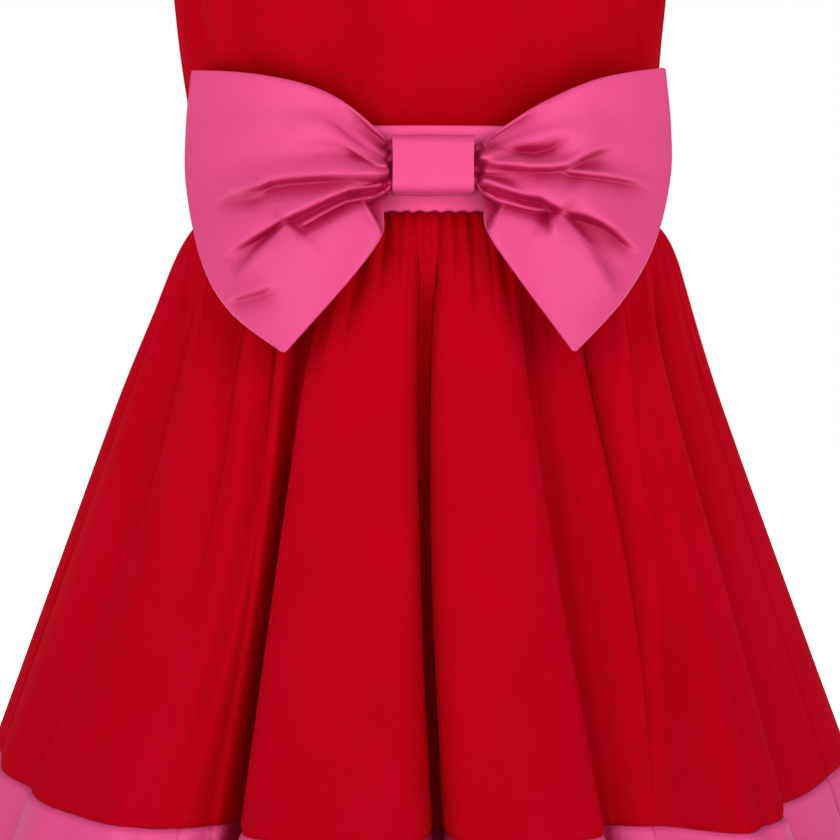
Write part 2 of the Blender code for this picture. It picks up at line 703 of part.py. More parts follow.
def build_zip_tape():
    """The zip's tape, sewn inside the centre back seam. It stands clear of the gathers."""
    top = BACK_NECK_Z - ZIP_TOP_CLEARANCE
    end = SKIRT_TOP_Z - ZIP_END_DROP
    skirt_rows = [SKIRT_TOP_Z - drop for drop in reversed(SKIRT_ROWS)]
    bodice_rows = [BAND_TOP_Z + (BACK_NECK_Z - BAND_TOP_Z) * share for share in BODICE_RISES]
    cloth_rows = skirt_rows + bodice_rows
    cloth_depths = [back_depth(z) for z in cloth_rows]
    above_gathers = SKIRT_TOP_Z + ZIP_TAPE_CLEARANCE
    heights = [z for z in cloth_rows if end < z < top and z != SKIRT_TOP_Z]
    heights = sorted([*heights, end, SKIRT_TOP_Z + ZIP_TAPE_STEP, above_gathers, top])
    inset = VELVET_THICKNESS / 2 + ZIP_TAPE_GAP + ZIP_TAPE_THICKNESS / 2
    across = np.linspace(ZIP_TAPE_WIDTH / 2, -ZIP_TAPE_WIDTH / 2, 5)
    grid = np.zeros((len(heights), len(across), 3))
    for row, z in enumerate(heights):
        depth = np.interp(z, cloth_rows, cloth_depths) - inset
        if SKIRT_TOP_Z < z < above_gathers:
            depth = back_depth(SKIRT_TOP_Z) - inset
        for column, x in enumerate(across):
            round_back = math.sqrt(1 - (x / girth(z)[0]) ** 2)
            grid[row, column] = (centre_x(z) + x, depth * round_back, z)
    normals = grid_normals(grid, closed=False)
    wall("zip_tape", grid, normals, ZIP_TAPE_THICKNESS, "zip_tape")


def pin_place():
    """The pin that the pull turns on, and the tilt of the cloth there, from upright."""
    z = BACK_NECK_Z - ZIP_TOP_CLEARANCE - PIN_BELOW_ZIP_TOP
    reach = SLIDER_ABOVE_PIN
    tilt = math.atan((back_depth(z - reach) - back_depth(z + reach)) / (2 * reach))
    out = VELVET_THICKNESS / 2 + RUNNING_GAP + SLIDER_THICKNESS + pin_stand()
    place = (centre_x(z), back_depth(z) + out * math.cos(tilt), z + out * math.sin(tilt))
    return place, tilt


def pin_stand():
    """Height of the pin over the slider, which its corners just clear as it turns."""
    return PIN_THICKNESS / math.sqrt(2) + RUNNING_GAP


def set_on_back(obj):
    obj.location, obj.rotation_euler.x = pin_place()


def rounded_outline(half_width, low, high, radius):
    """Points round a rectangle with rounded corners, counter-clockwise from its lower right corner."""
    points = []
    bottom, top = low + radius, high - radius
    for side, z, start in ((1, bottom, -90), (1, top, 0), (-1, top, 90), (-1, bottom, 180)):
        for step in range(4):
            turn = math.radians(start + 30 * step)
            x = side * (half_width - radius) + radius * math.cos(turn)
            points.append((x, z + radius * math.sin(turn)))
    return points


def build_slider():
    """A plate over the seam, with a bridge that holds the pull."""
    back = -pin_stand() - SLIDER_THICKNESS
    front = -pin_stand()
    outline = rounded_outline(SLIDER_WIDTH / 2, -SLIDER_BELOW_PIN, SLIDER_ABOVE_PIN, SLIDER_CORNER)
    count = len(outline)
    points = [(x, back, z) for x, z in outline] + [(x, front, z) for x, z in outline]
    faces = [tuple(range(count)), tuple(range(2 * count - 1, count - 1, -1))]
    faces += [((i + 1) % count, i, count + i, count + (i + 1) % count) for i in range(count)]
    plate = add_object("zip_slider", points, faces, "zip_metal")

    foot = front - BRIDGE_FOOT
    profile = [(foot, -BRIDGE_OUTER_RADIUS)]
    for turn in range(-90, 91, 30):
        angle = math.radians(turn)
        profile.append((BRIDGE_OUTER_RADIUS * math.cos(angle), BRIDGE_OUTER_RADIUS * math.sin(angle)))
    profile += [(foot, BRIDGE_OUTER_RADIUS), (foot, BRIDGE_INNER_RADIUS)]
    for turn in range(90, -91, -30):
        angle = math.radians(turn)
        profile.append((BRIDGE_INNER_RADIUS * math.cos(angle), BRIDGE_INNER_RADIUS * math.sin(angle)))
    profile.append((foot, -BRIDGE_INNER_RADIUS))
    bridge = bpy.data.meshes.new("zip_bridge")
    sides = bmesh.new()
    ring = [sides.verts.new((-BRIDGE_WIDTH / 2, y, z)) for y, z in profile]
    face = sides.faces.new(ring)
    swept = bmesh.ops.extrude_face_region(sides, geom=[face])["geom"]
    moved = [part for part in swept if isinstance(part, bmesh.types.BMVert)]
    bmesh.ops.translate(sides, verts=moved, vec=(BRIDGE_WIDTH, 0.0, 0.0))
    bmesh.ops.recalc_face_normals(sides, faces=sides.faces)
    sides.to_mesh(bridge)
    sides.free()
    guide = bpy.data.objects.new("zip_bridge", bridge)
    bpy.context.scene.collection.objects.link(guide)
    guide.hide_render = True
    guide.display_type = "WIRE"
    joined = plate.modifiers.new("bridge", "BOOLEAN")
    joined.operation = "UNION"
    joined.object = guide
    set_on_back(guide)
    set_on_back(plate)


def build_pull():
    """A flat tab with an eye. The bar above the eye is the pin, and the tab hangs down from it."""
    half = PIN_THICKNESS / 2
    outer = rounded_outline(PULL_WIDTH / 2, half - PULL_LENGTH, half, PULL_CORNER)
    eye_half = BRIDGE_WIDTH / 2 + RUNNING_GAP
    eye = rounded_outline(eye_half, -half - PULL_EYE_LENGTH, -half, PULL_EYE_CORNER)
    count = len(outer)
    points = []
    for y in (-half, half):
        points += [(x, y, z) for x, z in outer] + [(x, y, z) for x, z in eye]
    faces = []
    for i in range(count):
        j = (i + 1) % count
        for start, turned in ((0, False), (2 * count, True)):
            quad = (start + i, start + j, start + count + j, start + count + i)
            faces.append(quad[::-1] if turned else quad)
        faces.append((j, i, 2 * count + i, 2 * count + j))
        faces.append((count + i, count + j, 3 * count + j, 3 * count + i))
    set_on_back(add_object("zip_pull", points, faces, "zip_metal"))


def build_zip():
    build_zip_tape()
    build_slider()
    build_pull()


clear_scene()
build_bodice()
build_waistband()
build_skirt()
build_bow()
build_zip()
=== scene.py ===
"""Looks of a toddler party dress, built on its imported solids.

Units are metres and +Z is up. The front faces -Y and the wearer's left is at +X.
"""

import math

import bpy
import numpy as np
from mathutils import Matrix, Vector


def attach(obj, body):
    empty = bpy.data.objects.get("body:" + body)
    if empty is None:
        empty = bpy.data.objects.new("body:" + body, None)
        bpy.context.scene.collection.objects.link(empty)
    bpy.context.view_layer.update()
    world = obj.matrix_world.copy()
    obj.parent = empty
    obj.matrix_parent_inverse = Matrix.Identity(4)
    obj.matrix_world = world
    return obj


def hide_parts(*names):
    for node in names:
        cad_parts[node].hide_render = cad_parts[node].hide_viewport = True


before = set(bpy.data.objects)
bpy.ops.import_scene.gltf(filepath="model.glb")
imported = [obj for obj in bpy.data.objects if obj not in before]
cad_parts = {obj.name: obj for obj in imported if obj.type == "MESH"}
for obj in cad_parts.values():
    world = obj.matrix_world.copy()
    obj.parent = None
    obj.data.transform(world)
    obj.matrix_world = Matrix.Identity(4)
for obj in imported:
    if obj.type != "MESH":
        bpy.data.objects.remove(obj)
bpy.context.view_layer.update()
bpy.context.scene.view_settings.view_transform = "Standard"

# Bodice
# A front and two backs of cotton velvet, cut to the body and sewn at the shoulders and sides. The neck
# and armholes are turned under and caught down from inside, which leaves a soft thick edge.

BODY_GIRTH = (
    # height, half width, half depth
    (-0.226, 0.0994, 0.0764),
    (-0.220, 0.0995, 0.0765),
    (-0.184, 0.1015, 0.0780),
    (-0.148, 0.1055, 0.0808),
    (-0.113, 0.1090, 0.0830),
    (0.010, 0.1120, 0.0850),
)
WAIST_SEAM_Z = -0.220
BAND_TOP_Z = -0.184
UNDERARM_Z = -0.113
WAIST_SHIFT = 0.0030
WAIST_SHIFT_REACH = 0.085
SIDE_SEAM_ANGLE = 80.0
GIRTH_BLEND = 0.010
CHEST_SQUARENESS = 0.14
NECK_POINT_Z = 0.0070
NECK_HALF_WIDTH = 0.060
SHOULDER_TIP_X = 0.102
SHOULDER_SLOPE = 0.30
CHEST_FALL = 0.112
SHOULDER_ROUNDING = 1.9
ARMHOLE_SHARES = (0.0, 0.12, 0.27, 0.42, 0.55, 0.66, 0.76, 0.85, 0.93, 1.0)
ARMHOLE_UPPER_DROP = 0.050
SEAM_GAP = 0.00004
HALF_GAP = SEAM_GAP / 2
VELVET_THICKNESS = 0.0012
TURNED_EDGE_WIDTH = 0.0055
TURNED_EDGE_EXTRA = 0.0005
TURNED_EDGE_FADE = 0.002
FREE_EDGE_SHARE = 0.08
CREST_ROUNDING = 0.12
CREST_FALL = 1.3
TUCK_SHARE = 1.0
TUCK_RECOVERY = 2.0
SEAM_ROLL_DEPTH = 0.0009
SEAM_ROLL_WIDTH = 0.0016
SIDE_ROLL_DROP = 0.001
SIDE_ROLL_FADE = 0.004
MM_ROUND_CHEST = 1.75  # for each degree
MESH_STEPS = 6

BODICE_PANELS = {
    # name: neck height, pull of the armhole's upper and lower half in degrees, side seam angle
    "front": (-0.052, (47.0, 57.0), SIDE_SEAM_ANGLE),
    "back": (-0.016, (50.0, 60.0), 180 - SIDE_SEAM_ANGLE),
}

# Creases are lines of points over the cloth. Each row holds its height in mm, negative for a trough, its
# half width in mm on the left and the right of the line, the shares of its length in which it fades in and
# out, and its points.
BODICE_FRONT_CREASES = (
    # height, left, right, fade in, fade out, points as angle and height in mm
    (-1.6, 5, 9, 0.5, 0.2, (-36, -128), (-41, -142), (-45, -158)),
    (1.2, 7, 6, 0.6, 0.2, (-31, -126), (-37, -143), (-42, -157)),
    (-1.2, 4, 6, 0.5, 0.2, (62, -134), (64, -146), (66, -155)),
    (-1.4, 4, 5, 0.5, 0.2, (68, -142), (66, -149), (65, -156)),
    (-1, 9, 12, 0.5, 0.4, (-12, -120), (-20, -146), (-28, -166)),
    (-0.8, 10, 12, 0.5, 0.4, (18, -112), (28, -140), (40, -160)),
    (0.8, 12, 12, 0.5, 0.5, (52, -60), (50, -90), (44, -120)),
    (-1.6, 10, 8, 0.3, 0.6, (72, -116), (64, -124), (50, -130)),
    (-1.6, 8, 10, 0.3, 0.6, (-73, -118), (-66, -128), (-55, -136)),
    (-4.6, 7, 15, 0.4, 0.3, (-10, -187), (-27, -177), (-38, -169), (-62, -164)),
    (-4.6, 15, 7, 0.4, 0.3, (10, -187), (27, -178), (40, -169), (64, -163)),
    (-4, 9, 8, 0.4, 0.3, (-64, -104), (-63, -130), (-60, -160)),
    (-3.4, 8, 9, 0.4, 0.3, (66, -104), (64, -130), (61, -160)),
    (2.2, 2.4, 2, 0.5, 0.2, (-49, -112), (-50, -134), (-52, -160)),
    (1.8, 2, 2.4, 0.5, 0.2, (58, -118), (60, -136), (62, -160)),
)
BODICE_BACK_CREASES = (
    (-1.3, 8, 10, 0.5, 0.3, (-6, -100), (-10, -130), (-18, -165)),
    (-1.2, 9, 8, 0.5, 0.3, (8, -112), (15, -142), (24, -172)),
    (-1.1, 10, 8, 0.3, 0.6, (88, -118), (74, -130), (56, -138)),
    (-1.2, 8, 11, 0.3, 0.6, (-90, -119), (-72, -134), (-50, -146)),
    (0.9, 12, 10, 0.5, 0.5, (34, -50), (36, -90), (34, -130)),
    (-0.9, 11, 12, 0.4, 0.4, (-34, -60), (-38, -96), (-36, -140)),
)


def ease(x):
    """Rises smoothly from 0 to 1 as x goes from 0 to 1."""
    x = np.clip(x, 0.0, 1.0)
    return x * x * (3 - 2 * x)


def signed_power(value, power):
    return np.sign(value) * np.abs(value) ** power


def girth(z):
    """Half width and half depth of the body at height z, smoothed between the measured rings."""
    heights, widths, depths = zip(*BODY_GIRTH)
    steps = np.linspace(-GIRTH_BLEND, GIRTH_BLEND, 5)
    wide = sum(np.interp(z + step, heights, widths) for step in steps) / len(steps)
    deep = sum(np.interp(z + step, heights, depths) for step in steps) / len(steps)
    return wide, deep


def centre_x(z):
    """The waist stands a little to the wearer's left of the shoulders and the hem."""
    return WAIST_SHIFT * (1 - ease(np.abs(z - WAIST_SEAM_Z) / WAIST_SHIFT_REACH))


def squareness(z):
    """Power of the body's cross-section: 1 is an ellipse, and less is squarer, as the chest is."""
    return 1 - CHEST_SQUARENESS * ease((z - BAND_TOP_Z) / (UNDERARM_Z - BAND_TOP_Z))


def body_point(angle, z, out=0.0, depth_share=1.0):
    """Points of the body at angles in degrees from the centre front, and at heights z."""
    wide, deep = girth(z)
    power = squareness(z)
    turn = np.radians(angle)
    x = centre_x(z) + (wide + out) * signed_power(np.sin(turn), power)
    y = -(deep + out) * depth_share * signed_power(np.cos(turn), power)
    return np.stack([x, y, z + 0 * x], axis=-1)


def tucked(off):
    """Height of a crisp fold on its lower side: it drops from its crest to a tuck, then eases back out."""
    wall = (1 + TUCK_SHARE) * ease(1 - off) - TUCK_SHARE
    beyond = -TUCK_SHARE * np.exp(-(((off - 1) / TUCK_RECOVERY) ** 2))
    return np.where(off < 1, wall, beyond)


def line_relief(across, up, creases, mm_across=1.0, sharp=False):
    """Height over the cloth of creases laid along lines, at places across and up it in mm. mm_across turns
    the first number of their points into mm. The ridges of sharp ones have a narrow crest and a steep wall
    on their right-hand side, as crisp satin does."""
    relief = np.zeros(across.shape)
    for height, left, right, fade_in, fade_out, *points in creases:
        points = [(a * mm_across, b) for a, b in points]
        nearest = np.full(across.shape, np.inf)
        place = np.zeros(across.shape)
        on_left = np.zeros(across.shape, bool)
        spans = list(zip(points, points[1:]))
        lengths = [math.dist(a, b) for a, b in spans]
        done = 0.0
        for (a, b), length in zip(spans, lengths):
            step = (np.array(b) - a) / length
            along = np.clip((across - a[0]) * step[0] + (up - a[1]) * step[1], 0.0, length)
            off_x = across - a[0] - along * step[0]
            off_y = up - a[1] - along * step[1]
            distance = np.hypot(off_x, off_y)
            closer = distance < nearest
            nearest = np.where(closer, distance, nearest)
            place = np.where(closer, (done + along) / sum(lengths), place)
            on_left = np.where(closer, step[0] * off_y - step[1] * off_x > 0, on_left)
            done += length
        off = nearest / np.where(on_left, left, right)
        form = np.exp(-(off**2))
        if sharp:
            crest = np.hypot(off, CREST_ROUNDING) - CREST_ROUNDING
            form = np.where(on_left | (height < 0), np.exp(-(crest**CREST_FALL)), tucked(off))
        relief += height / 1000 * ease(place / fade_in) * ease((1 - place) / fade_out) * form
    return relief


def facing(grid, closed=False):
    """Outward unit normals of a grid of points [rows, from the bottom up][columns, counter-clockwise]."""
    up = np.gradient(grid, axis=0)
    if closed:
        around = np.roll(grid, -1, axis=1) - np.roll(grid, 1, axis=1)
    else:
        around = np.gradient(grid, axis=1)
    normals = np.cross(around, up)
    return normals / np.linalg.norm(normals, axis=2, keepdims=True)


def path_lengths(grid, axis):
    """Distance along the cloth from the grid's first row or column."""
    steps = np.linalg.norm(np.diff(grid, axis=axis), axis=2)
    first = np.zeros_like(np.take(steps, [0], axis=axis))
    return np.concatenate([first, np.cumsum(steps, axis=axis)], axis=axis)


def parted(grid, normals):
    """Sides of a panel moved in along its rows by half the seam gap."""
    moved = grid.copy()
    for edge, beside in ((0, 2), (-1, -3)):
        along = grid[:, beside] - grid[:, edge]
        along -= normals[:, edge] * (along * normals[:, edge]).sum(axis=1, keepdims=True)
        along /= np.linalg.norm(along, axis=1, keepdims=True)
        moved[:, edge] += along * HALF_GAP
    return moved


def seam_roll(distance):
    """Depth that cloth rolls in beside a seam."""
    return SEAM_ROLL_DEPTH * np.exp(-((distance / SEAM_ROLL_WIDTH) ** 2))


def rounded_edge(distance, thickness):
    """Share of the thickness left near a free edge, so that it ends in half a circle."""
    near = np.clip(distance / (thickness / 2), 0.0, 1.0)
    return np.sqrt(1 - (1 - near) ** 2) * (1 - FREE_EDGE_SHARE) + FREE_EDGE_SHARE


def shell(name, middle, normals, thickness, finish):
    """A thin closed shell of cloth whose middle runs through the grid of points. Its texture
    coordinates are metres across and up the cloth."""
    rows, columns = middle.shape[:2]
    half = np.broadcast_to(thickness, (rows, columns))[..., None] / 2
    sides = [(middle + normals * half).reshape(-1, 3), (middle - normals * half).reshape(-1, 3)]
    count = rows * columns
    index = np.arange(count).reshape(rows, columns)
    outside = np.stack([index[:-1, :-1], index[:-1, 1:], index[1:, 1:], index[1:, :-1]], axis=-1)
    outside = outside.reshape(-1, 4)
    border = np.concatenate([index[0], index[1:, -1], index[-1, -2::-1], index[-2::-1, 0]])
    rim = np.stack([border[1:], border[:-1], border[:-1] + count, border[1:] + count], axis=-1)
    faces = np.concatenate([outside, outside[:, ::-1] + count, rim])
    mesh = bpy.data.meshes.new(name)
    mesh.from_pydata(np.concatenate(sides).tolist(), [], faces.tolist())
    across = path_lengths(middle, 1)
    up = path_lengths(middle, 0)
    flat = np.stack([across - across.mean(axis=1, keepdims=True), up], axis=-1).reshape(-1, 2)
    mesh.uv_layers.new(name="cloth").data.foreach_set("uv", flat[faces.ravel() % count].ravel())
    mesh.shade_smooth()
    mesh.materials.append(finish)
    piece = bpy.data.objects.new(name, mesh)
    bpy.context.scene.collection.objects.link(piece)
    return piece


def linear(hex_colour):
    """Linear colour of an sRGB hex value."""
    channels = [int(hex_colour[i : i + 2], 16) / 255 for i in (0, 2, 4)]
    return (*[c / 12.92 if c <= 0.04045 else ((c + 0.055) / 1.055) ** 2.4 for c in channels], 1.0)


def add_node(tree, kind, gives, inputs={}, **settings):
    """Adds a shader node and returns its output named by gives. inputs holds a value, or the socket that
    feeds it, for each input by name."""
    node = tree.nodes.new("ShaderNode" + kind)
    for key, value in settings.items():
        setattr(node, key, value)
    for key, value in inputs.items():
        if isinstance(value, bpy.types.NodeSocket):
            tree.links.new(value, node.inputs[key])
        else:
            node.inputs[key].default_value = value
    return node.outputs[gives] if gives else node


def new_material(name, coat_of, *choices):
    """A material with one shader, whose inputs coat_of works out in the node tree from the choices."""
    finish = bpy.data.materials.new(name)
    finish.use_nodes = True
    tree = finish.node_tree
    tree.nodes.clear()
    shader = add_node(tree, "BsdfPrincipled", "BSDF", coat_of(tree, *choices))
    add_node(tree, "OutputMaterial", "", {"Surface": shader})
    return finish


# Cotton velvet: a woven ground with a short dense pile, cut and brushed. It has no shine face on and
# glows a little where it turns away. The pile lies in soft patches, longer down the cloth than across,
# lighter where it was stroked one way and darker the other. The bodice has a darker copy with less
# sheen, whose darker colour is painted shade standing in for the shade over the bodice.
VELVET_LIT = "B2001A"
VELVET_SHADED = "A60014"
VELVET_GLOW = 0.32
# painted shade: darker tones and less sheen for the bodice's copy of the velvet
BODICE_PAINTED_SHADE_PALE = "AC0018"
BODICE_PAINTED_SHADE_DEEP = "94000C"
BODICE_GLOW = 0.16
VELVET_SHEEN = "FF1030"
# Painted shade for creases, recesses and beside nearby parts: the deep colour, and how far ambient occlusion
# looks
VELVET_PAINTED_SHADE = "A40006"
VELVET_PAINTED_SHADE_REACH = 0.024
NAP_PATCH = 0.035
NAP_DRAWN = 0.45
PILE_TUFT = 0.0009  # a real tuft is about 0.2 mm, too fine to show, so it is drawn coarser


def painted_crease_shade(tree, reach, closed, opened, deep, cloth):
    """Painted shade: cloth colour turned deep where ambient occlusion finds a crease or a nearby part."""
    around = {"Color": (1.0, 1.0, 1.0, 1.0), "Distance": reach}
    shade = add_node(tree, "AmbientOcclusion", "AO", around, samples=6)
    light = add_node(tree, "MapRange", "Result", {"Value": shade, "From Min": closed, "From Max": opened})
    return add_node(tree, "MixRGB", "Color", {"Fac": light, "Color1": linear(deep), "Color2": cloth})


def velvet_coat(tree, shaded, lit, glow):
    place = add_node(tree, "TexCoord", "Object")
    combed = add_node(tree, "Mapping", "Vector", {"Vector": place, "Scale": (1.0, 1.0, NAP_DRAWN)})
    nap = {"Vector": combed, "Scale": 1 / NAP_PATCH, "Detail": 5.0, "Roughness": 0.62}
    patches = add_node(tree, "TexNoise", "Fac", nap)
    lying = add_node(tree, "MapRange", "Result", {"Value": patches, "From Min": 0.30, "From Max": 0.70})
    stroked = {"Fac": lying, "Color1": linear(shaded), "Color2": linear(lit)}
    open_pile = add_node(tree, "MixRGB", "Color", stroked)
    # painted shade: the pile turns deep red where ambient occlusion finds creases, recesses and nearby parts
    pile = painted_crease_shade(tree, VELVET_PAINTED_SHADE_REACH, 0.35, 0.90, VELVET_PAINTED_SHADE, open_pile)
    tufts = add_node(tree, "TexNoise", "Fac", {"Vector": place, "Scale": 1 / PILE_TUFT, "Detail": 2.0})
    speckle = {"Value": tufts, "From Min": 0.25, "From Max": 0.75, "To Min": 0.94, "To Max": 1.04}
    grain = add_node(tree, "MapRange", "Result", speckle)
    return {
        "Base Color": add_node(tree, "VectorMath", "Vector", {0: pile, 1: grain}, operation="MULTIPLY"),
        "Roughness": 0.95,
        "Specular IOR Level": 0.02,
        "Sheen Weight": glow,
        "Sheen Roughness": 0.45,
        "Sheen Tint": linear(VELVET_SHEEN),
        "Normal": add_node(tree, "Bump", "Normal", {"Strength": 0.20, "Distance": 0.0004, "Height": tufts}),
    }


velvet = new_material("cotton_velvet", velvet_coat, VELVET_SHADED, VELVET_LIT, VELVET_GLOW)
# painted shade: the bodice gets the darker copy of the velvet
bodice_velvet_painted_shade = new_material(
    "cotton_velvet_bodice_painted_shade", velvet_coat, BODICE_PAINTED_SHADE_DEEP, BODICE_PAINTED_SHADE_PALE, BODICE_GLOW
)


def shoulder_z(x):
    """Height of the shoulder line, which runs on over the neck in a smooth arch."""
    x = np.abs(x)
    arch = SHOULDER_SLOPE * (NECK_HALF_WIDTH**2 - x**2) / (2 * NECK_HALF_WIDTH)
    slope = -SHOULDER_SLOPE * (x - NECK_HALF_WIDTH)
    return NECK_POINT_Z + np.where(x < NECK_HALF_WIDTH, arch, slope)


def bodice_point(angle, z):
    """Points of the bodice at angles from its own middle, in the half that faces -Y."""
    point = body_point(angle, z)
    below = np.clip((shoulder_z(point[..., 0]) - z) / CHEST_FALL, 0.0, 1.0)
    share = (1 - (1 - below) ** SHOULDER_ROUNDING) ** (1 / SHOULDER_ROUNDING)
    return body_point(angle, z, depth_share=share)


def angle_at(x, z):
    share = np.minimum(np.abs(x) / girth(z)[0], 1.0)
    return np.degrees(np.arcsin(share ** (1 / squareness(z))))


def bodice_edge(neck_z, armhole_pulls, side_angle):
    """Top edge of half a bodice, as angles and heights: neck, then shoulder, then armhole."""
    turn = np.radians(np.linspace(0, 90, 7 * MESH_STEPS, endpoint=False))
    neck_x = NECK_HALF_WIDTH * np.sin(turn)
    neck_line = NECK_POINT_Z + (neck_z - NECK_POINT_Z) * np.cos(turn)
    strap_x = np.linspace(NECK_HALF_WIDTH, SHOULDER_TIP_X, 2 * MESH_STEPS, endpoint=False)
    strap_line = shoulder_z(strap_x)
    tip_z = float(shoulder_z(SHOULDER_TIP_X))
    corners = (
        (float(angle_at(SHOULDER_TIP_X, tip_z)), tip_z),
        (armhole_pulls[0], tip_z - ARMHOLE_UPPER_DROP),
        (armhole_pulls[1], UNDERARM_Z),
        (side_angle, UNDERARM_Z),
    )
    last = len(ARMHOLE_SHARES) - 1
    share = np.interp(np.linspace(0, last, last * MESH_STEPS + 1), range(last + 1), ARMHOLE_SHARES)
    rest = 1 - share
    weights = (rest**3, 3 * rest**2 * share, 3 * rest * share**2, share**3)
    hole_angle, hole_z = (sum(w * corner[i] for w, corner in zip(weights, corners)) for i in (0, 1))
    angles = np.concatenate([angle_at(neck_x, neck_line), angle_at(strap_x, strap_line), hole_angle])
    return angles, np.concatenate([neck_line, strap_line, hole_z])


def bodice_grid(neck_z, armhole_pulls, side_angle, creases):
    """Middle of a whole bodice panel that faces -Y, its normals and its thickness."""
    top_angle, top_z = bodice_edge(neck_z, armhole_pulls, side_angle)
    bottom_angle = np.linspace(0, side_angle, len(top_angle))
    bottom_z = BAND_TOP_Z + HALF_GAP
    rows = (np.linspace(0, 0.03, 6), np.linspace(0.045, 0.994, 78), (0.997, 0.9985, 1.0))
    share = np.concatenate(rows)[:, None]
    angle = bottom_angle + (top_angle - bottom_angle) * ease(share)
    z = bottom_z + (top_z - bottom_z) * share
    angle = np.concatenate([-angle[:, :0:-1], angle], axis=1)
    z = np.concatenate([z[:, :0:-1], z], axis=1)
    grid = bodice_point(angle, z)
    normals = facing(grid)
    top_x, top_y, _ = grid[-1].T
    on_seam = (np.abs(top_y) < 1e-5) & (np.abs(top_x) > NECK_HALF_WIDTH / 2)
    grid[-1, on_seam, 1] = -HALF_GAP
    tilt = np.stack([np.sign(top_x) * SHOULDER_SLOPE, 0 * top_x, 1 + 0 * top_x], axis=-1)
    tilt /= np.linalg.norm(tilt, axis=1, keepdims=True)
    normals[-1, on_seam] = tilt[on_seam]
    from_bottom = path_lengths(grid, 0)
    from_top = from_bottom[-1] - from_bottom
    from_side = path_lengths(grid, 1)
    from_side = np.minimum(from_side, from_side[:, -1:] - from_side)
    below_underarm = ease((UNDERARM_Z - SIDE_ROLL_DROP - z) / SIDE_ROLL_FADE)
    depth = line_relief(angle * MM_ROUND_CHEST, z * 1000, creases, MM_ROUND_CHEST)
    depth -= seam_roll(from_bottom) + seam_roll(from_side) * below_underarm
    grid = grid + normals * depth[..., None]
    free = np.where(on_seam, 0.0, 1.0)
    folded = 0.5 - (from_top - TURNED_EDGE_WIDTH) / TURNED_EDGE_FADE
    thickness = VELVET_THICKNESS + TURNED_EDGE_EXTRA * ease(folded) * free
    thickness = thickness * (1 - free * (1 - rounded_edge(from_top, VELVET_THICKNESS)))
    return grid, normals, thickness


front_grid, front_normals, front_thickness = bodice_grid(*BODICE_PANELS["front"], BODICE_FRONT_CREASES)
front_grid = parted(front_grid, front_normals)
bodice_front = shell("bodice_front_cloth", front_grid, front_normals, front_thickness, bodice_velvet_painted_shade)
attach(bodice_front, "garment")
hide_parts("bodice_front")

back_grid, back_normals, back_thickness = bodice_grid(*BODICE_PANELS["back"], BODICE_BACK_CREASES)
back_grid[..., 0] = 2 * centre_x(back_grid[..., 2]) - back_grid[..., 0]
back_grid[..., 1] *= -1
back_normals[..., :2] *= -1
zip_column = back_grid.shape[1] // 2
for half_name, half in (("left", slice(0, zip_column + 1)), ("right", slice(zip_column, None))):
    half_grid, half_normals = back_grid[:, half], back_normals[:, half]
    from_zip = path_lengths(half_grid, 1)
    if half_name == "left":
        from_zip = from_zip[:, -1:] - from_zip
    half_grid = parted(half_grid - half_normals * seam_roll(from_zip)[..., None], half_normals)
    bodice_back = shell(
        f"bodice_back_{half_name}_cloth", half_grid, half_normals, back_thickness[:, half], bodice_velvet_painted_shade
    )
    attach(bodice_back, "garment")
    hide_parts(f"bodice_back_{half_name}")

# Waistband
# A straight strip of polyester satin, set in between bodice and skirt and seamed to both. It is in a
# front and two backs, and lies smooth with a few soft creases where it strains round the waist.

BAND_THICKNESS = 0.0014
BAND_OUT = 0.0002
MM_ROUND_WAIST = 1.53  # for each degree
COLUMNS_A_DEGREE = 1.25
BAND_CREASES = (
    (-0.7, 2, 3, 0.4, 0.5, (-74, -203), (-40, -199), (-16, -196)),
    (-0.6, 2.5, 2, 0.5, 0.4, (12, -208), (30, -211), (62, -209)),
    (-0.6, 2, 2.5, 0.4, 0.5, (8, -190), (25, -192), (44, -196)),
    (-0.7, 2.5, 2.5, 0.4, 0.5, (-30, -213), (-18, -212), (-6, -209)),
    (-0.8, 2, 3, 0.5, 0.4, (84, -196), (120, -201), (152, -197)),
    (-0.7, 3, 2, 0.4, 0.5, (104, -210), (136, -208), (171, -212)),
    (-0.8, 2.5, 2.5, 0.5, 0.4, (188, -193), (222, -199), (256, -195)),
    (-0.7, 2, 3, 0.4, 0.5, (200, -208), (236, -212), (266, -207)),
)

# Polyester satin: long floats of bright filament yarn, heat set. It has a broad soft shine, drawn out
# across the yarns, over a very fine rib and faint slubs that blur it. Its colour carries painted shade in
# creases and beside nearby parts, turned deeper where ambient occlusion finds them close in. The
# waistband's copy is lighter, painted light against the bow's shade on it, and its painted shade
# reaches only its very seams.
SATIN_LIGHT = "D4467C"
SATIN_DEEP = "CC3E74"
# painted light: the waistband's satin is a lighter copy, brightened against the bow's shade over it
BAND_PAINTED_LIGHT_PALE = "F85494"
BAND_PAINTED_LIGHT_DEEP = "EC4884"
# Painted shade for the satin's creases and beside nearby parts: the deep colour, and how far ambient
# occlusion looks
SATIN_PAINTED_SHADE = "9C0038"
SATIN_PAINTED_SHADE_REACH = 0.010
# painted shade reaches only the waistband's seams
BAND_PAINTED_SHADE_REACH = 0.0015
SATIN_SHEEN = "FFB0D0"
SATIN_GLOSS = "FFC0E0"
SATIN_RIB = 0.0006  # real yarns are about 0.1 mm apart, too fine to show, so they are drawn coarser
SATIN_SLUB = 0.012
SLUB_DRAWN = 6.0
WAVE_ONCE = 1 / 3.14  # scale of a wave texture with one rib in each metre


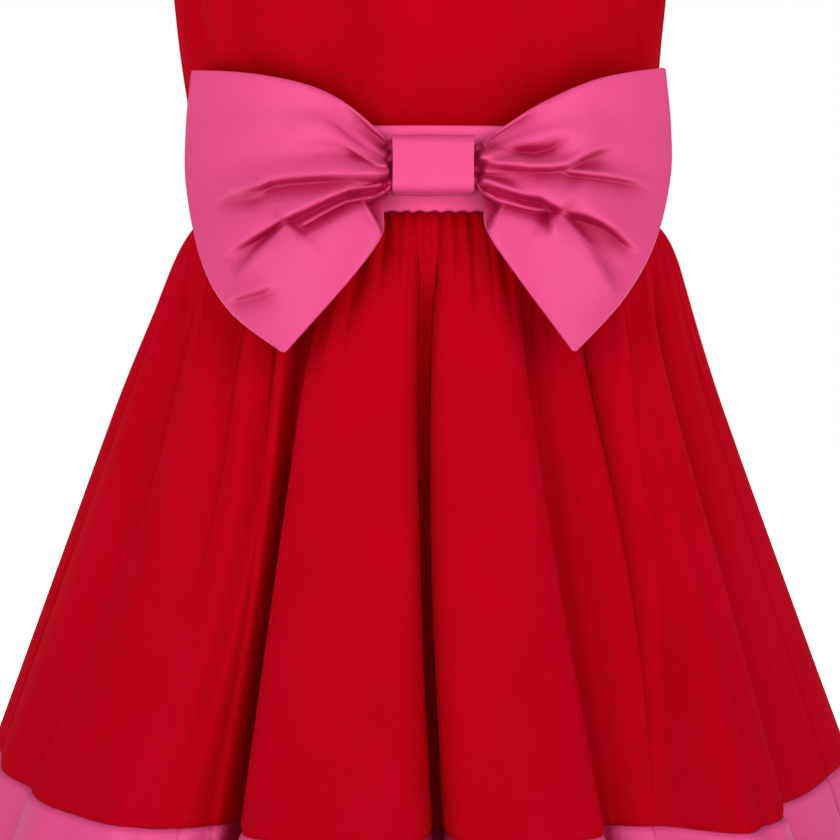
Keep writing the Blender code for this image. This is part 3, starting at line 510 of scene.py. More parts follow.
def satin_coat(tree, light, deep, painted_shade_reach):
    flat = add_node(tree, "UVMap", "UV", uv_map="cloth")
    drawn = add_node(tree, "Mapping", "Vector", {"Vector": flat, "Scale": (1.0, SLUB_DRAWN, 1.0)})
    slub = {"Vector": drawn, "Scale": 1 / SATIN_SLUB, "Detail": 4.0, "Roughness": 0.6}
    slubs = add_node(tree, "TexNoise", "Fac", slub)
    rib = {"Vector": flat, "Scale": WAVE_ONCE / SATIN_RIB, "Distortion": 0.6, "Detail": 1.0}
    ribs = add_node(tree, "TexWave", "Fac", rib, bands_direction="Y")
    tint = {"Fac": slubs, "Color1": linear(deep), "Color2": linear(light)}
    yarn = add_node(tree, "MixRGB", "Color", tint)
    gloss = {"Value": slubs, "From Min": 0.3, "From Max": 0.7, "To Min": 0.38, "To Max": 0.44}
    soft = add_node(tree, "Bump", "Normal", {"Strength": 0.08, "Distance": 0.0006, "Height": slubs})
    ribbed = {"Strength": 0.10, "Distance": 0.0002, "Height": ribs, "Normal": soft}
    return {
        # painted shade: the yarn colour turns deep where ambient occlusion finds creases and nearby parts
        "Base Color": painted_crease_shade(tree, painted_shade_reach, 0.78, 0.985, SATIN_PAINTED_SHADE, yarn),
        "Roughness": add_node(tree, "MapRange", "Result", gloss),
        "Specular IOR Level": 0.40,
        "Specular Tint": linear(SATIN_GLOSS),
        "Anisotropic": 0.60,
        "Sheen Weight": 0.06,
        "Sheen Roughness": 0.5,
        "Sheen Tint": linear(SATIN_SHEEN),
        "Normal": add_node(tree, "Bump", "Normal", ribbed),
        "Tangent": add_node(tree, "Tangent", "Tangent", direction_type="UV_MAP", uv_map="cloth"),
    }


satin = new_material("polyester_satin", satin_coat, SATIN_LIGHT, SATIN_DEEP, SATIN_PAINTED_SHADE_REACH)
# painted light: the waistband gets the lighter copy of the satin
band_satin_painted_light = new_material("polyester_satin_waist_painted_light", satin_coat, BAND_PAINTED_LIGHT_PALE, BAND_PAINTED_LIGHT_DEEP, BAND_PAINTED_SHADE_REACH)

BAND_PANELS = {
    # name: first angle, last angle, length cut
    "waistband_front": (-SIDE_SEAM_ANGLE, SIDE_SEAM_ANGLE, 0.271),
    "waistband_back_left": (SIDE_SEAM_ANGLE, 180.0, 0.162),
    "waistband_back_right": (180.0, 360 - SIDE_SEAM_ANGLE, 0.162),
}
band_heights = np.linspace(WAIST_SEAM_Z + HALF_GAP, BAND_TOP_Z - HALF_GAP, 37)
for band_name, (first_angle, last_angle, band_length) in BAND_PANELS.items():
    band_columns = round((last_angle - first_angle) * COLUMNS_A_DEGREE) + 1
    band_angle, band_z = np.meshgrid(np.linspace(first_angle, last_angle, band_columns), band_heights)
    band_grid = body_point(band_angle, band_z, BAND_OUT)
    band_normals = facing(band_grid)
    band_depth = line_relief(band_angle * MM_ROUND_WAIST, band_z * 1000, BAND_CREASES, MM_ROUND_WAIST)
    band_rise, band_run = path_lengths(band_grid, 0), path_lengths(band_grid, 1)
    band_depth -= seam_roll(band_rise) + seam_roll(band_rise[-1] - band_rise)
    band_depth -= seam_roll(band_run) + seam_roll(band_run[:, -1:] - band_run)
    band_grid = parted(band_grid + band_normals * band_depth[..., None], band_normals)
    waistband = shell(f"{band_name}_cloth", band_grid, band_normals, BAND_THICKNESS, band_satin_painted_light)
    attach(waistband, "garment")
    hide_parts(band_name)

# Skirt
# A front and two backs of the same velvet, cut flared and gathered into the waistband by a drawn
# thread. Each fold starts from a few of the gathers and opens into a broad rounded lobe at the hem.

HEM_SEAM_DROP = 0.241
HEM_SIDE_RISE = 0.012
SIDE_FLARE = 0.361
FRONT_FLARE = 0.340
SIDE_PUFF = 0.0055
FRONT_PUFF = 0.0050
PUFF_DROP = 0.0080
GATHERS = 108
GATHER_HEIGHT = 0.0011
SHORT_GATHER = 0.010
LONG_GATHER = 0.060
GATHER_SWING = 2.4
FINE_STEPS = 8
VALLEY_ROUNDING = 0.12
FOLD_OPENING = 0.050
FLOOR_FLARE = 3.0
FLOOR_FLARE_DROP = 0.060
CROWDING = 0.75
CROWDING_DROP = 0.193
FAN_DROP = 0.070
PLEAT_HEIGHT = 0.0009
PLEAT_DROP = 0.045
PLEAT_SWING = 2.3
PLEAT_UNEVENNESS = 1.2
PLEAT_DRIFT = 0.9
GATHERED_DROP = 0.012
SEAM_ROWS_DROP = 0.004

SKIRT_FOLDS = (
    # gathers to the next, hem angle, sway, then in mm: upper depth, hem depth, upper crest, hem crest, then
    # the steepness of the wall before and after its valley, and the width of its floor
    (7, 2.3, -1.2, 16, 29, 0, 3, 0.15, 0.15, 0.8),
    (5, 23.6, -1, 25, 24, -21, -21, 0.16, 1.2, 0.8),
    (4, 30, 5, 18, 13, 0, -12, 1, 0.3, 0),
    (3, 37, 3, 3.5, -18, 0, 12, 2, 2, 0),
    (5, 47.5, 2, 12, 6, -1, -4, 0.22, 1.6, 0),
    (4, 66, 0, 2, 4, -1, -1, 1.7, 1.7, 0),
    (5, 88, 0, 5, 1, 0, 1, 1.4, 1.4, 0),
    (5, 107, 1.5, 8, 22, 0, 2, 0.55, 0.8, 1),
    (5, 124, 0, 6, 9, -1, 4, 1, 1, 0),
    (6, 141.5, -2, 9, 28, 0, 3, 0.8, 0.35, 1.5),
    (5, 163, 0, 6, 11, 0, 3, 0.9, 0.9, 0),
    (5, 180.5, 0, 3, 20, 0, 1, 0.6, 0.6, 0),
    (6, 198, 2, 8, 15, 0, 3, 0.9, 0.7, 0.5),
    (5, 217, 0, 8.5, 28, 0, 2, 0.35, 0.8, 1.5),
    (5, 234, -2, 6, 11, -1, 3, 1, 1, 0),
    (5, 250, 0, 8, 21, 0, 1, 0.8, 0.4, 1),
    (4, 263, 0, 6, 8, 0, 0, 1.4, 1.4, 0),
    (4, 281, 0, 4, 4, -1, -2, 1.6, 1.6, 0),
    (6, 300, 8, 10, 6, -1, 0, 1.6, 0.7, 0),
    (3, 322, 4.5, 11, -2, -4, -1, 1.4, 0.4, 0),
    (3, 330, 3, 14, 8, -8, -18, 1.4, 0.35, 0),
    (8, 336, 0, 20, 36, 0, 3, 1.2, 0.16, 1),
)

SKIRT_CREASES = (
    # height, half width to its right and to its left, fade in, fade out, points as angle and drop in mm.
    # First the ones at the front, from the centre out.
    (-1.6, 1.2, 2, 0.02, 0.6, (-3.9, 0), (-3.5, 24)),
    (-2, 2, 1.2, 0.02, 0.6, (3.4, 0), (3.2, 30)),
    (-1.4, 1.5, 1.5, 0.05, 0.5, (-5.5, 0), (-4.6, 24)),
    (-1.2, 1.4, 1.4, 0.05, 0.5, (-0.9, 0), (-0.7, 24)),
    (-1, 1.4, 1.4, 0.05, 0.5, (1, 0), (1.2, 26)),
    (-1.4, 1.5, 2, 0.05, 0.5, (6.5, 0), (7.2, 40)),
    (-1.6, 1.6, 2.6, 0.05, 0.5, (9.4, 0), (10, 32), (11.6, 62)),
    (-1.2, 1.5, 1.5, 0.05, 0.5, (11.1, 0), (11.8, 30)),
    (-1.8, 1.6, 2.4, 0.05, 0.6, (15.4, 0), (17.1, 36), (18.9, 62)),
    (-1.6, 1.8, 2.6, 0.05, 0.6, (-9, 0), (-9.6, 34)),
    (-2, 2.4, 1.8, 0.05, 0.6, (-13.5, 0), (-14.6, 50), (-15, 74)),
    (-1.8, 2, 3, 0.05, 0.6, (-19, 0), (-20.6, 60), (-21, 88)),
    (-1.6, 4, 5, 0.3, 0.5, (-11, 60), (-11.6, 130)),
    (-1.4, 5, 4, 0.3, 0.5, (12.5, 56), (13, 120)),
    # right of the front
    (-2, 2, 3, 0.1, 0.5, (30, 10), (29.5, 50), (28, 84)),
    (-1.2, 2.4, 2, 0.1, 0.5, (43.5, 8), (45, 40), (44.5, 70)),
    (-1.2, 2, 3, 0.1, 0.5, (51, 6), (51.5, 30)),
    (1, 1.6, 2.4, 0.3, 0.3, (74.2, 30), (71.5, 64), (74, 84)),
    # left of the front
    (1.2, 4, 4, 0.3, 0.3, (-37, 50), (-33.7, 81), (-30.3, 105)),
    (-1.8, 2, 2.6, 0.1, 0.5, (-27, 6), (-28.5, 50), (-28, 80)),
    (-1.8, 2.6, 2, 0.1, 0.5, (-50, 6), (-49, 50), (-46, 86)),
    (-1.6, 2, 3, 0.1, 0.5, (-74, 4), (-75.5, 44), (-74, 80)),
    (0.8, 1.8, 2.6, 0.3, 0.3, (-83, 120), (-80, 170), (-81, 224)),
    (-3, 9, 3, 0.15, 0.35, (-67, 14), (-63.5, 47), (-59, 87), (-58, 118), (-56, 172), (-55, 200)),
    (1.2, 2.5, 6, 0.15, 0.35, (-64, 20), (-60.5, 47), (-56, 87), (-55, 118), (-53.5, 172), (-52.5, 200)),
    # sides and back
    (-2.2, 1.8, 2.8, 0.05, 0.5, (94, 0), (95.5, 44), (96, 76)),
    (-1.8, 2.6, 1.8, 0.05, 0.5, (101, 0), (102, 34)),
    (2.2, 7, 3, 0.2, 0.3, (113, 60), (115, 120), (114, 190)),
    (-2, 1.8, 2.4, 0.05, 0.5, (119, 0), (121.5, 48), (122.5, 80)),
    (-2.4, 5, 7, 0.3, 0.3, (131, 100), (132.5, 160), (131, 214)),
    (-2, 2.4, 1.8, 0.05, 0.5, (137, 0), (138.5, 52), (138, 84)),
    (-1.6, 1.8, 2.4, 0.05, 0.5, (149, 0), (150, 30)),
    (2, 3, 7, 0.2, 0.3, (156, 70), (153, 130), (154, 205)),
    (-2.2, 1.8, 2.8, 0.05, 0.5, (160, 0), (162, 46), (163, 78)),
    (-1.8, 2.4, 1.8, 0.05, 0.5, (170, 0), (171, 32)),
    (-1.8, 1.8, 2.4, 0.05, 0.5, (-171, 0), (-172.5, 36)),
    (-2.2, 2.8, 1.8, 0.05, 0.5, (-163, 0), (-164.5, 50), (-166, 86)),
    (2.2, 7, 3, 0.2, 0.3, (-152, 66), (-150, 126), (-152, 196)),
    (-2, 1.8, 2.4, 0.05, 0.5, (-147, 0), (-148, 40), (-147, 70)),
    (-1.8, 2.4, 1.8, 0.05, 0.5, (-136, 0), (-137.5, 52)),
    (-2.2, 6, 5, 0.3, 0.3, (-133, 96), (-134, 150), (-132, 216)),
    (-2, 1.8, 2.8, 0.05, 0.5, (-123, 0), (-124, 46), (-125, 82)),
    (1.8, 3, 7, 0.2, 0.3, (-117, 80), (-118, 140), (-116, 200)),
    (-1.8, 2.4, 1.8, 0.05, 0.5, (-108, 0), (-109, 42)),
    (-2.2, 1.8, 2.8, 0.05, 0.5, (-97, 0), (-98.5, 50), (-99, 84)),
)


def skirt_girth(drop):
    """Half width and half depth round the outside of the skirt's folds."""
    wide, deep = girth(WAIST_SEAM_Z)
    puff = 1 - np.exp(-drop / PUFF_DROP)
    return wide + SIDE_PUFF * puff + SIDE_FLARE * drop, deep + FRONT_PUFF * puff + FRONT_FLARE * drop


def fold_depth(upper, hem, drop):
    """A fold opens to its upper depth just below the gathers, then runs on to its depth at the hem."""
    lower = upper + (hem - upper) * (drop - FOLD_OPENING) / (HEM_SEAM_DROP - FOLD_OPENING)
    return np.where(drop < FOLD_OPENING, upper * ease(drop / FOLD_OPENING), lower)


def lobe(share, power):
    """Height of a lobe, from 0 at its two valleys to 1 at its crest."""
    wave = np.hypot(np.sin(math.pi * share), VALLEY_ROUNDING) - VALLEY_ROUNDING
    return (wave / (math.hypot(1, VALLEY_ROUNDING) - VALLEY_ROUNDING)) ** power


def gather(place, drop):
    """Small pleats drawn up by the gathering thread. Each dies out at its own height."""
    swing = (0.5 + 0.5 * np.sin(2 * GATHER_SWING * place)) ** 3
    length = SHORT_GATHER + (LONG_GATHER - SHORT_GATHER) * swing
    return -GATHER_HEIGHT * np.exp(-drop / length) * np.cos(2 * math.pi * place)


def pleat(place, drop):
    """Broader pleats, into which the gathers run together below the seam."""
    swing = np.sin(PLEAT_SWING * place + PLEAT_UNEVENNESS * np.sin(PLEAT_DRIFT * place))
    return PLEAT_HEIGHT * swing * np.exp(-drop / PLEAT_DROP) * (1 - np.exp(-drop / PUFF_DROP))


def skirt_surface(place, drop):
    """Middle of the skirt's cloth, at places in gathers from the centre front, and drops below the waist."""
    folds = np.array(SKIRT_FOLDS, float)
    folds[:, 3:7] /= 1000  # mm to m
    starts = np.concatenate([[0], np.cumsum(folds[:, 0])])
    index = np.clip(np.searchsorted(starts, place, side="right") - 1, 0, len(folds) - 1)
    here = np.moveaxis(folds[index], -1, 0)
    after = np.moveaxis(folds[(index + 1) % len(folds)], -1, 0)
    gathers, low, sway, upper, hem, crest, hem_crest, _, wall, floor = here
    next_low = after[1] + np.where(index + 1 < len(folds), 0, 360)
    share = (place - starts[index]) / gathers
    share = share - CROWDING * ease(drop / CROWDING_DROP) * np.sin(2 * math.pi * share) / (2 * math.pi)
    waist_angle = 360 / GATHERS * (starts[index] + gathers * share)
    width = next_low - low
    low_angle = low + width * share
    fan = (1 - np.exp(-drop / FAN_DROP)) / (1 - math.exp(-HEM_SEAM_DROP / FAN_DROP))
    degrees = waist_angle + (low_angle - waist_angle) * fan
    bend = sway + (after[2] - sway) * share
    degrees = degrees + bend * np.sin(math.pi * np.minimum(drop / HEM_SEAM_DROP, 1.0))
    fall = drop * (1 - HEM_SIDE_RISE / HEM_SEAM_DROP * np.sin(np.radians(low_angle)) ** 6)
    blend = ease(share)
    depth = fold_depth(upper, hem, fall) * (1 - blend) + fold_depth(after[3], after[4], fall) * blend
    rise = np.maximum(fold_depth(crest, hem_crest, fall) + depth, 0.0)
    flare = (1 + FLOOR_FLARE * np.exp(-fall / FLOOR_FLARE_DROP)) / width
    start_floor, end_floor = floor * flare, after[9] * flare
    lifted = np.clip((share - start_floor) / (1 - start_floor - end_floor), 0.0, 1.0)
    out = rise * lobe(lifted, wall + (after[7] - wall) * blend) - depth
    out += gather(place, fall) + pleat(place, fall)
    wide, deep = skirt_girth(fall)
    out += skirt_creases(degrees, np.radians(wide + deep) / 2 * 1000, fall * 1000)
    z = WAIST_SEAM_Z - fall
    angle = np.radians(degrees)
    across = np.stack([np.sin(angle) * deep, -np.cos(angle) * wide, 0 * z], axis=-1)
    across /= np.linalg.norm(across, axis=-1, keepdims=True)
    start = np.stack([centre_x(z) + wide * np.sin(angle), -deep * np.cos(angle), z], axis=-1)
    return start + across * out[..., None]


def skirt_creases(degrees, mm_round, drop):
    """Height of the creases that run down the skirt, each at angles given for a few drops."""
    relief = np.zeros(degrees.shape)
    for height, right, left, fade_in, fade_out, *points in SKIRT_CREASES:
        angles, drops = zip(*points)
        off = ((degrees - np.interp(drop, drops, angles) + 180) % 360 - 180) * mm_round
        place = (drop - drops[0]) / (drops[-1] - drops[0])
        fades = ease(place / fade_in) * ease((1 - place) / fade_out)
        relief += height / 1000 * fades * np.exp(-((off / np.where(off < 0, right, left)) ** 2))
    return relief


def ring(drops):
    """The whole skirt's cloth at these drops, from the lowest up, and its normals."""
    places = np.linspace(0, GATHERS, GATHERS * FINE_STEPS, endpoint=False)
    grid = skirt_surface(*np.meshgrid(places, np.sort(drops)[::-1]))
    return grid, facing(grid, closed=True)


def ring_panel(name, grid, normals, gathers, thickness, finish, top_roll=1.0, bottom_roll=1.0):
    """One panel of the ring between two gathers, rolled in along its seams."""
    first, last = (gather_count * FINE_STEPS for gather_count in gathers)
    chosen = [column % grid.shape[1] for column in range(first, last + 1)]
    grid, normals = grid[:, chosen], normals[:, chosen]
    run, rise = path_lengths(grid, 1), path_lengths(grid, 0)
    depth = seam_roll(run) + seam_roll(run[:, -1:] - run)
    depth += bottom_roll * seam_roll(rise) + top_roll * seam_roll(rise[-1] - rise)
    if not np.isscalar(thickness):
        thickness = thickness[:, chosen]
    return shell(name, parted(grid - normals * depth[..., None], normals), normals, thickness, finish)


WAIST_ROLL = 0.4
# gathers from the centre front to a side seam and to the centre back
SIDE_GATHER = 24
BACK_GATHER = 54
SKIRT_PANELS = {
    # name: first and last gather, cut, area cut
    "skirt_front": ((-SIDE_GATHER, SIDE_GATHER), (0.600, 0.250), 0.116),
    "skirt_back_left": ((SIDE_GATHER, BACK_GATHER), (0.450, 0.250), 0.073),
    "skirt_back_right": ((BACK_GATHER, GATHERS - SIDE_GATHER), (0.420, 0.250), 0.069),
}
skirt_drops = (
    HALF_GAP + GATHERED_DROP * np.linspace(0, 1, 10, endpoint=False) ** 1.3,
    np.linspace(GATHERED_DROP, HEM_SEAM_DROP - SEAM_ROWS_DROP, 98, endpoint=False),
    np.linspace(HEM_SEAM_DROP - SEAM_ROWS_DROP, HEM_SEAM_DROP - HALF_GAP, 7),
)
skirt_grid, skirt_normals = ring(np.concatenate(skirt_drops))
level = skirt_normals[-1] * (1.0, 1.0, 0.0)
skirt_normals[-1] = level / np.linalg.norm(level, axis=1, keepdims=True)
for panel_name, (panel_gathers, cut, area_cut) in SKIRT_PANELS.items():
    skirt = ring_panel(
        f"{panel_name}_cloth",
        skirt_grid,
        skirt_normals,
        panel_gathers,
        VELVET_THICKNESS,
        velvet,
        top_roll=WAIST_ROLL,
    )
    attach(skirt, "garment")
    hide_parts(panel_name)

# Hem band
# A straight strip of the satin, folded double along its lower edge and seamed under the velvet at its
# upper one. It is in a front and a back, joined at the side seams, and follows the skirt's folds.

HEM_EDGE_DROP = 0.293
HEM_THICKNESS = 0.0012
# painted light: the hem band's satin is a lighter copy of the bow's satin
HEM_PAINTED_LIGHT_PALE = "E24E8A"
HEM_PAINTED_LIGHT_DEEP = "D84680"
HEM_PANELS = {
    # name: first and last gather, cut
    "hem_band_front": ((-SIDE_GATHER, SIDE_GATHER), (0.660, 0.052)),
    "hem_band_back": ((SIDE_GATHER, GATHERS - SIDE_GATHER), (0.900, 0.052)),
}
hem_drops = (
    np.linspace(HEM_SEAM_DROP + HALF_GAP, HEM_SEAM_DROP + SEAM_ROWS_DROP, 6, endpoint=False),
    np.linspace(HEM_SEAM_DROP + SEAM_ROWS_DROP, HEM_EDGE_DROP - 0.0008, 20, endpoint=False),
    HEM_EDGE_DROP - np.array((0.0008, 0.0004, 0.0001, 0.0)),
)
# painted light: the hem band gets the lighter copy of the satin
hem_satin_painted_light = new_material("polyester_satin_hem_painted_light", satin_coat, HEM_PAINTED_LIGHT_PALE, HEM_PAINTED_LIGHT_DEEP, SATIN_PAINTED_SHADE_REACH)
hem_grid, hem_normals = ring(np.concatenate(hem_drops))
hem_wall = HEM_THICKNESS * rounded_edge(path_lengths(hem_grid, 0), HEM_THICKNESS)
for panel_name, (panel_gathers, cut) in HEM_PANELS.items():
    hem_band = ring_panel(
        f"{panel_name}_cloth", hem_grid, hem_normals, panel_gathers, hem_wall, hem_satin_painted_light, bottom_roll=0.0
    )
    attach(hem_band, "garment")
    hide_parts(panel_name)

# Bow
# Two loops of the satin, each a folded strip whose inner ends are pleated together by hand and caught
# down under the knot. The loops stand off the waist, and their creases fan out from the knot.

KNOT_X = 0.0054
KNOT_Z = -0.2011
KNOT_HEIGHT = 0.0226
KNOT_WIDTH = 0.0335
KNOT_STAND = 0.0146
BOW_STAND = 0.0866
BOW_LEAN = 0.0270
BOW_LEAN_START = 0.26
BOW_LEAN_ROUNDING = 0.012
BOW_WRAP = 0.0340
BOW_HALF_SPAN = 0.095
BOW_DROP = 0.075
FOLD_RADIUS = 0.0013
LOOP_HOLLOW = 0.0062
LAYER_CLEARANCE = 0.0014
WING_PUFF = 0.0060
PLEAT_WIDTH = 0.075
HELD_PLEATS = 3.5
HELD_PLEAT_HEIGHT = 0.0004
HELD_SHARE = 0.22
HOLLOW_SHARE = 0.35
WING_THICKNESS = 0.0008
# The lower inner corner of a loop's front layer is nipped back, which shows the inside of its back layer
NIP_DEPTH = 0.0044
NIP_BLUR = 0.5
NIP_LIP = 0.0007
NIP_LIP_WIDTH = 0.6

# Each loop has the side of the knot that it is on, the area cut in m2, its outline in mm out from the
# knot's centre and up from it, pleats as place across from the top edge, place out where it is deepest and
# depth, the nipped edge from the knot to its elbow and its end, and creases. A crease that runs out from
# the knot has its wall below it.
RIGHT_WING = {
    "side": -1,
    "cut_area": 0.0194,
    "top": ((10, 7), (16.8, 8.8), (33.7, 23.5), (49.9, 32.3), (73.8, 38.8), (101.2, 43.8)),
    "outer": ((101.2, 43.8), (103.8, 20), (103.4, -5), (94.9, -38), (81.2, -59.6), (58.8, -76.2)),
    "bottom": ((10, -8), (17.2, -9.8), (20, -19.3), (21, -29.6), (34, -47.9), (58.8, -76.2)),
    "pleats": ((0.143, 0.25, 2), (0.429, 0.45, 2.6), (0.714, 0.4, 2.6)),
    "nip": ((17, -10.3), (27.1, -16), (20.6, -28.4)),
    "creases": (
        (3, 9, 3.6, 0.04, 0.35, (17, -3.9), (36.8, -3.9), (48.5, -4.1), (59.3, -4.5), (66.3, -5.3),
         (71.8, -7.2), (78, -8), (83.4, -7.6), (88.9, -6), (95.1, -5.5)),
        (1.2, 2.6, 2.2, 0.3, 0.4, (66, -10.2), (71.8, -10.7), (77.2, -11.2), (83.4, -10.9),
         (88.9, -11.6), (94.3, -13.8)),
        (2.6, 6, 2.8, 0.06, 0.35, (18.5, -7), (27.5, -9.1), (34.5, -10.3), (42.2, -13.3), (50, -16.9),
         (56.2, -19.6), (61.7, -22.1), (69.4, -26.6), (76.4, -30.3), (83.4, -33.6), (88.1, -35.4)),
        (1.4, 2.6, 1.5, 0.1, 0.12, (22.1, -13.2), (28.3, -14), (35.3, -15.4), (41.5, -18.5),
         (47.7, -22), (52.3, -24.7), (55.8, -24.1)),
        (2.6, 9, 3.4, 0.35, 0.06, (81.9, -47.6), (78.8, -46), (75.7, -42.2), (71.8, -37.5),
         (66.3, -32.1), (61.7, -27.4), (57.8, -23.1)),
        (1.5, 5, 2.6, 0.3, 0.3, (62.5, -48.8), (70, -50.8), (77.2, -52.6), (85.5, -54.4)),
        (-3, 1.8, 2.8, 0.05, 0.4, (17, 7.2), (25.2, 13.6), (32.9, 21.2), (40.5, 26.2)),
        (-3, 3.2, 2, 0.05, 0.5, (17.4, 1.3), (25.2, 5.2), (32.9, 10.7), (39.1, 16.1), (47, 20)),
        (1.2, 1.8, 1.8, 0.05, 0.4, (18, -1), (22, -0.6), (29, 3.4), (36.8, 8.4)),
        (-0.8, 9, 9, 0.4, 0.4, (52, 30), (66, 12), (86, 6)),
    ),
}
LEFT_WING = {
    "side": 1,
    "cut_area": 0.0171,
    "top": ((10, 6.5), (17.1, 7.6), (31, 16.9), (44.8, 25.5), (68, 36.3), (97, 44.2)),
    "outer": ((97, 44.2), (99.6, 20), (99.1, -2), (90.9, -30), (76.2, -54), (55.2, -75.8)),
    "bottom": ((10, -7.8), (17, -8.9), (20.6, -15), (21.5, -27), (35, -47.9), (55.2, -75.8)),
    "pleats": ((0.143, 0.3, 1.8), (0.429, 0.5, 2.6), (0.714, 0.45, 2.6)),
    "nip": ((17, -9.6), (27, -17), (21.2, -28.2)),
    "creases": (
        (-3, 4, 2, 0.1, 0.3, (20.3, 7.4), (28.9, 6.6), (36.7, 4.8), (41.3, 4.2), (47.5, 6.4),
         (52.2, 9.3), (58.4, 13)),
        (-2.6, 1.8, 2.6, 0.05, 0.4, (17.5, 7), (30.4, 14.6), (38.2, 19.2), (47.5, 24)),
        (2.6, 3, 3.2, 0.04, 0.3, (17.6, 2.7), (26.6, 0.6), (38.2, -0.7), (47.5, -0.5), (53.7, 0.7),
         (59.2, 3.7), (64.6, 6.6), (70.8, 9), (78, 10.8)),
        (1.8, 3.4, 2.4, 0.15, 0.4, (50.5, -1.8), (63.1, -2.8), (70.8, -3.3), (79.4, -4.1), (87.1, -5),
         (94.4, -7.6)),
        (2.8, 8, 3.2, 0.04, 0.2, (18, -6.3), (22.7, -7.2), (28.9, -9.4), (36.7, -11.9), (43.6, -12.8),
         (48.3, -15.8), (53.7, -18.5), (61.5, -19.8), (68.5, -22), (73.9, -25.1), (78.6, -29.3),
         (82.5, -32.5), (88, -34.6)),
        (1.4, 2.6, 1.6, 0.1, 0.12, (19.6, -11.1), (25, -14.2), (30.4, -16.1), (36.7, -17.7),
         (42.9, -18.9), (48.3, -18.9)),
        (1.6, 5, 1.8, 0.1, 0.5, (48.2, -19), (47.9, -24), (47.5, -31)),
        (2.8, 9, 3.4, 0.35, 0.06, (73.9, -56.9), (70.8, -49.9), (67.7, -43.7), (63.1, -35.9),
         (58.4, -29.3), (53.7, -23.5), (49.5, -18.9)),
        (-0.8, 9, 9, 0.4, 0.4, (60, 30), (76, 20), (90, 2)),
    ),
}


def spline(points, at):
    """Points at shares `at` of a smooth curve through the points."""
    points = np.array(points)
    spans = len(points) - 1
    index = np.minimum((at * spans).astype(int), spans - 1)
    t = (at * spans - index)[..., None]
    a = points[np.maximum(index - 1, 0)]
    b, c = points[index], points[index + 1]
    d = points[np.minimum(index + 2, spans)]
    return 0.5 * (2 * b + (c - a) * t + (2 * a - 5 * b + 4 * c - d) * t**2 + (3 * b - a - 3 * c + d) * t**3)


def wing_plane(wing, along, across):
    """Places in the bow's plane in mm: along goes from the knot to the outer fold, across from the top."""
    top, bottom = spline(wing["top"], along), spline(wing["bottom"], along)
    outer = spline(wing["outer"], across)
    knot_top, knot_bottom = np.array((wing["top"][0], wing["bottom"][0]))
    tip_top, tip_bottom = np.array((wing["outer"][0], wing["outer"][-1]))
    along, across = along[..., None], across[..., None]
    knot = knot_top + (knot_bottom - knot_top) * across
    ruled = knot * (1 - along) + outer * along + top * (1 - across) + bottom * across
    corners = (knot_top * (1 - across) + knot_bottom * across) * (1 - along)
    corners += (tip_top * (1 - across) + tip_bottom * across) * along
    return ruled - corners


def bow_stand(out, up):
    """How far in front of the origin the bow's front layer stands."""
    span = out / BOW_HALF_SPAN
    drop = (np.hypot(up, BOW_LEAN_ROUNDING) - up) / 2 / BOW_DROP
    return BOW_STAND + BOW_LEAN * drop * ease(span / BOW_LEAN_START) - BOW_WRAP * span**3


def wing_relief(wing, along, across, out, up):
    """Height of the front layer over its plane: a soft swell, pleats that fan from the knot, and creases."""
    relief = WING_PUFF * np.sin(math.pi * across).clip(0) ** 0.6 * np.sin(math.pi * along).clip(0) ** 0.8
    for place, deepest, depth in wing["pleats"]:
        reach = np.sin(math.pi * along ** (math.log(0.5) / math.log(deepest))).clip(0) ** 0.8
        relief -= depth / 1000 * reach * np.exp(-(((across - place) / PLEAT_WIDTH) ** 2))
    held = 1 - ease(along / HELD_SHARE)
    relief += HELD_PLEAT_HEIGHT * held * np.cos(2 * math.pi * across * HELD_PLEATS)
    return relief + line_relief(out, up, wing["creases"], sharp=True)


def nipped(relief, nip, out, up):
    """The relief with its nipped corner laid down to the back layer, inside an edge with a small lip."""
    inside = np.inf
    for (x, y), (next_x, next_y) in zip(nip, nip[1:]):
        beyond = (out - x) * (next_y - y) - (up - y) * (next_x - x)
        inside = np.minimum(inside, beyond / math.hypot(next_x - x, next_y - y))
    laid = ease(inside / NIP_BLUR + 1)
    lip = NIP_LIP * np.exp(-(((inside + 1) / NIP_LIP_WIDTH) ** 2))
    return (relief + lip) * (1 - laid) + np.minimum(relief, -NIP_DEPTH) * laid


def build_wing(name, wing):
    """A loop: the front layer out from the knot, the outer fold, and the back layer in to the knot."""
    front = np.concatenate([np.linspace(0, 0.97, 118), np.linspace(0.98, 1.0, 4)])
    turn = np.linspace(0, math.pi, 9)[1:-1]
    back = np.concatenate([np.linspace(1.0, 0.98, 4), np.linspace(0.97, 0.0, 20)])
    along_path = np.concatenate([front, np.ones(len(turn)), back])
    turn_path = np.concatenate([np.zeros(len(front)), turn, np.full(len(back), math.pi)])
    shares = np.concatenate([(1.0, 0.998, 0.995), np.linspace(0.99, 0.01, 160), (0.005, 0.002, 0.0)])
    along, across = np.meshgrid(along_path, shares)
    layer = (1 - np.cos(turn_path)) / 2
    out, up = np.moveaxis(wing_plane(wing, along, across), -1, 0)
    hollow = 2 * FOLD_RADIUS + (LOOP_HOLLOW - 2 * FOLD_RADIUS) * ease((1 - along) / HOLLOW_SHARE)
    relief = nipped(wing_relief(wing, along, across, out, up), wing["nip"], out, up)
    relief = np.maximum(relief, LAYER_CLEARANCE - hollow)
    out, up = out / 1000 + FOLD_RADIUS * np.sin(turn_path), up / 1000
    y = -bow_stand(out, up) - relief * (1 - layer) + hollow * layer
    grid = np.stack([KNOT_X + wing["side"] * out, y, KNOT_Z + up], axis=-1)[:, :: wing["side"]]
    rise = path_lengths(grid, 0)
    edge = np.minimum(rise, rise[-1] - rise)
    return shell(name, grid, facing(grid), WING_THICKNESS * rounded_edge(edge, WING_THICKNESS), satin)


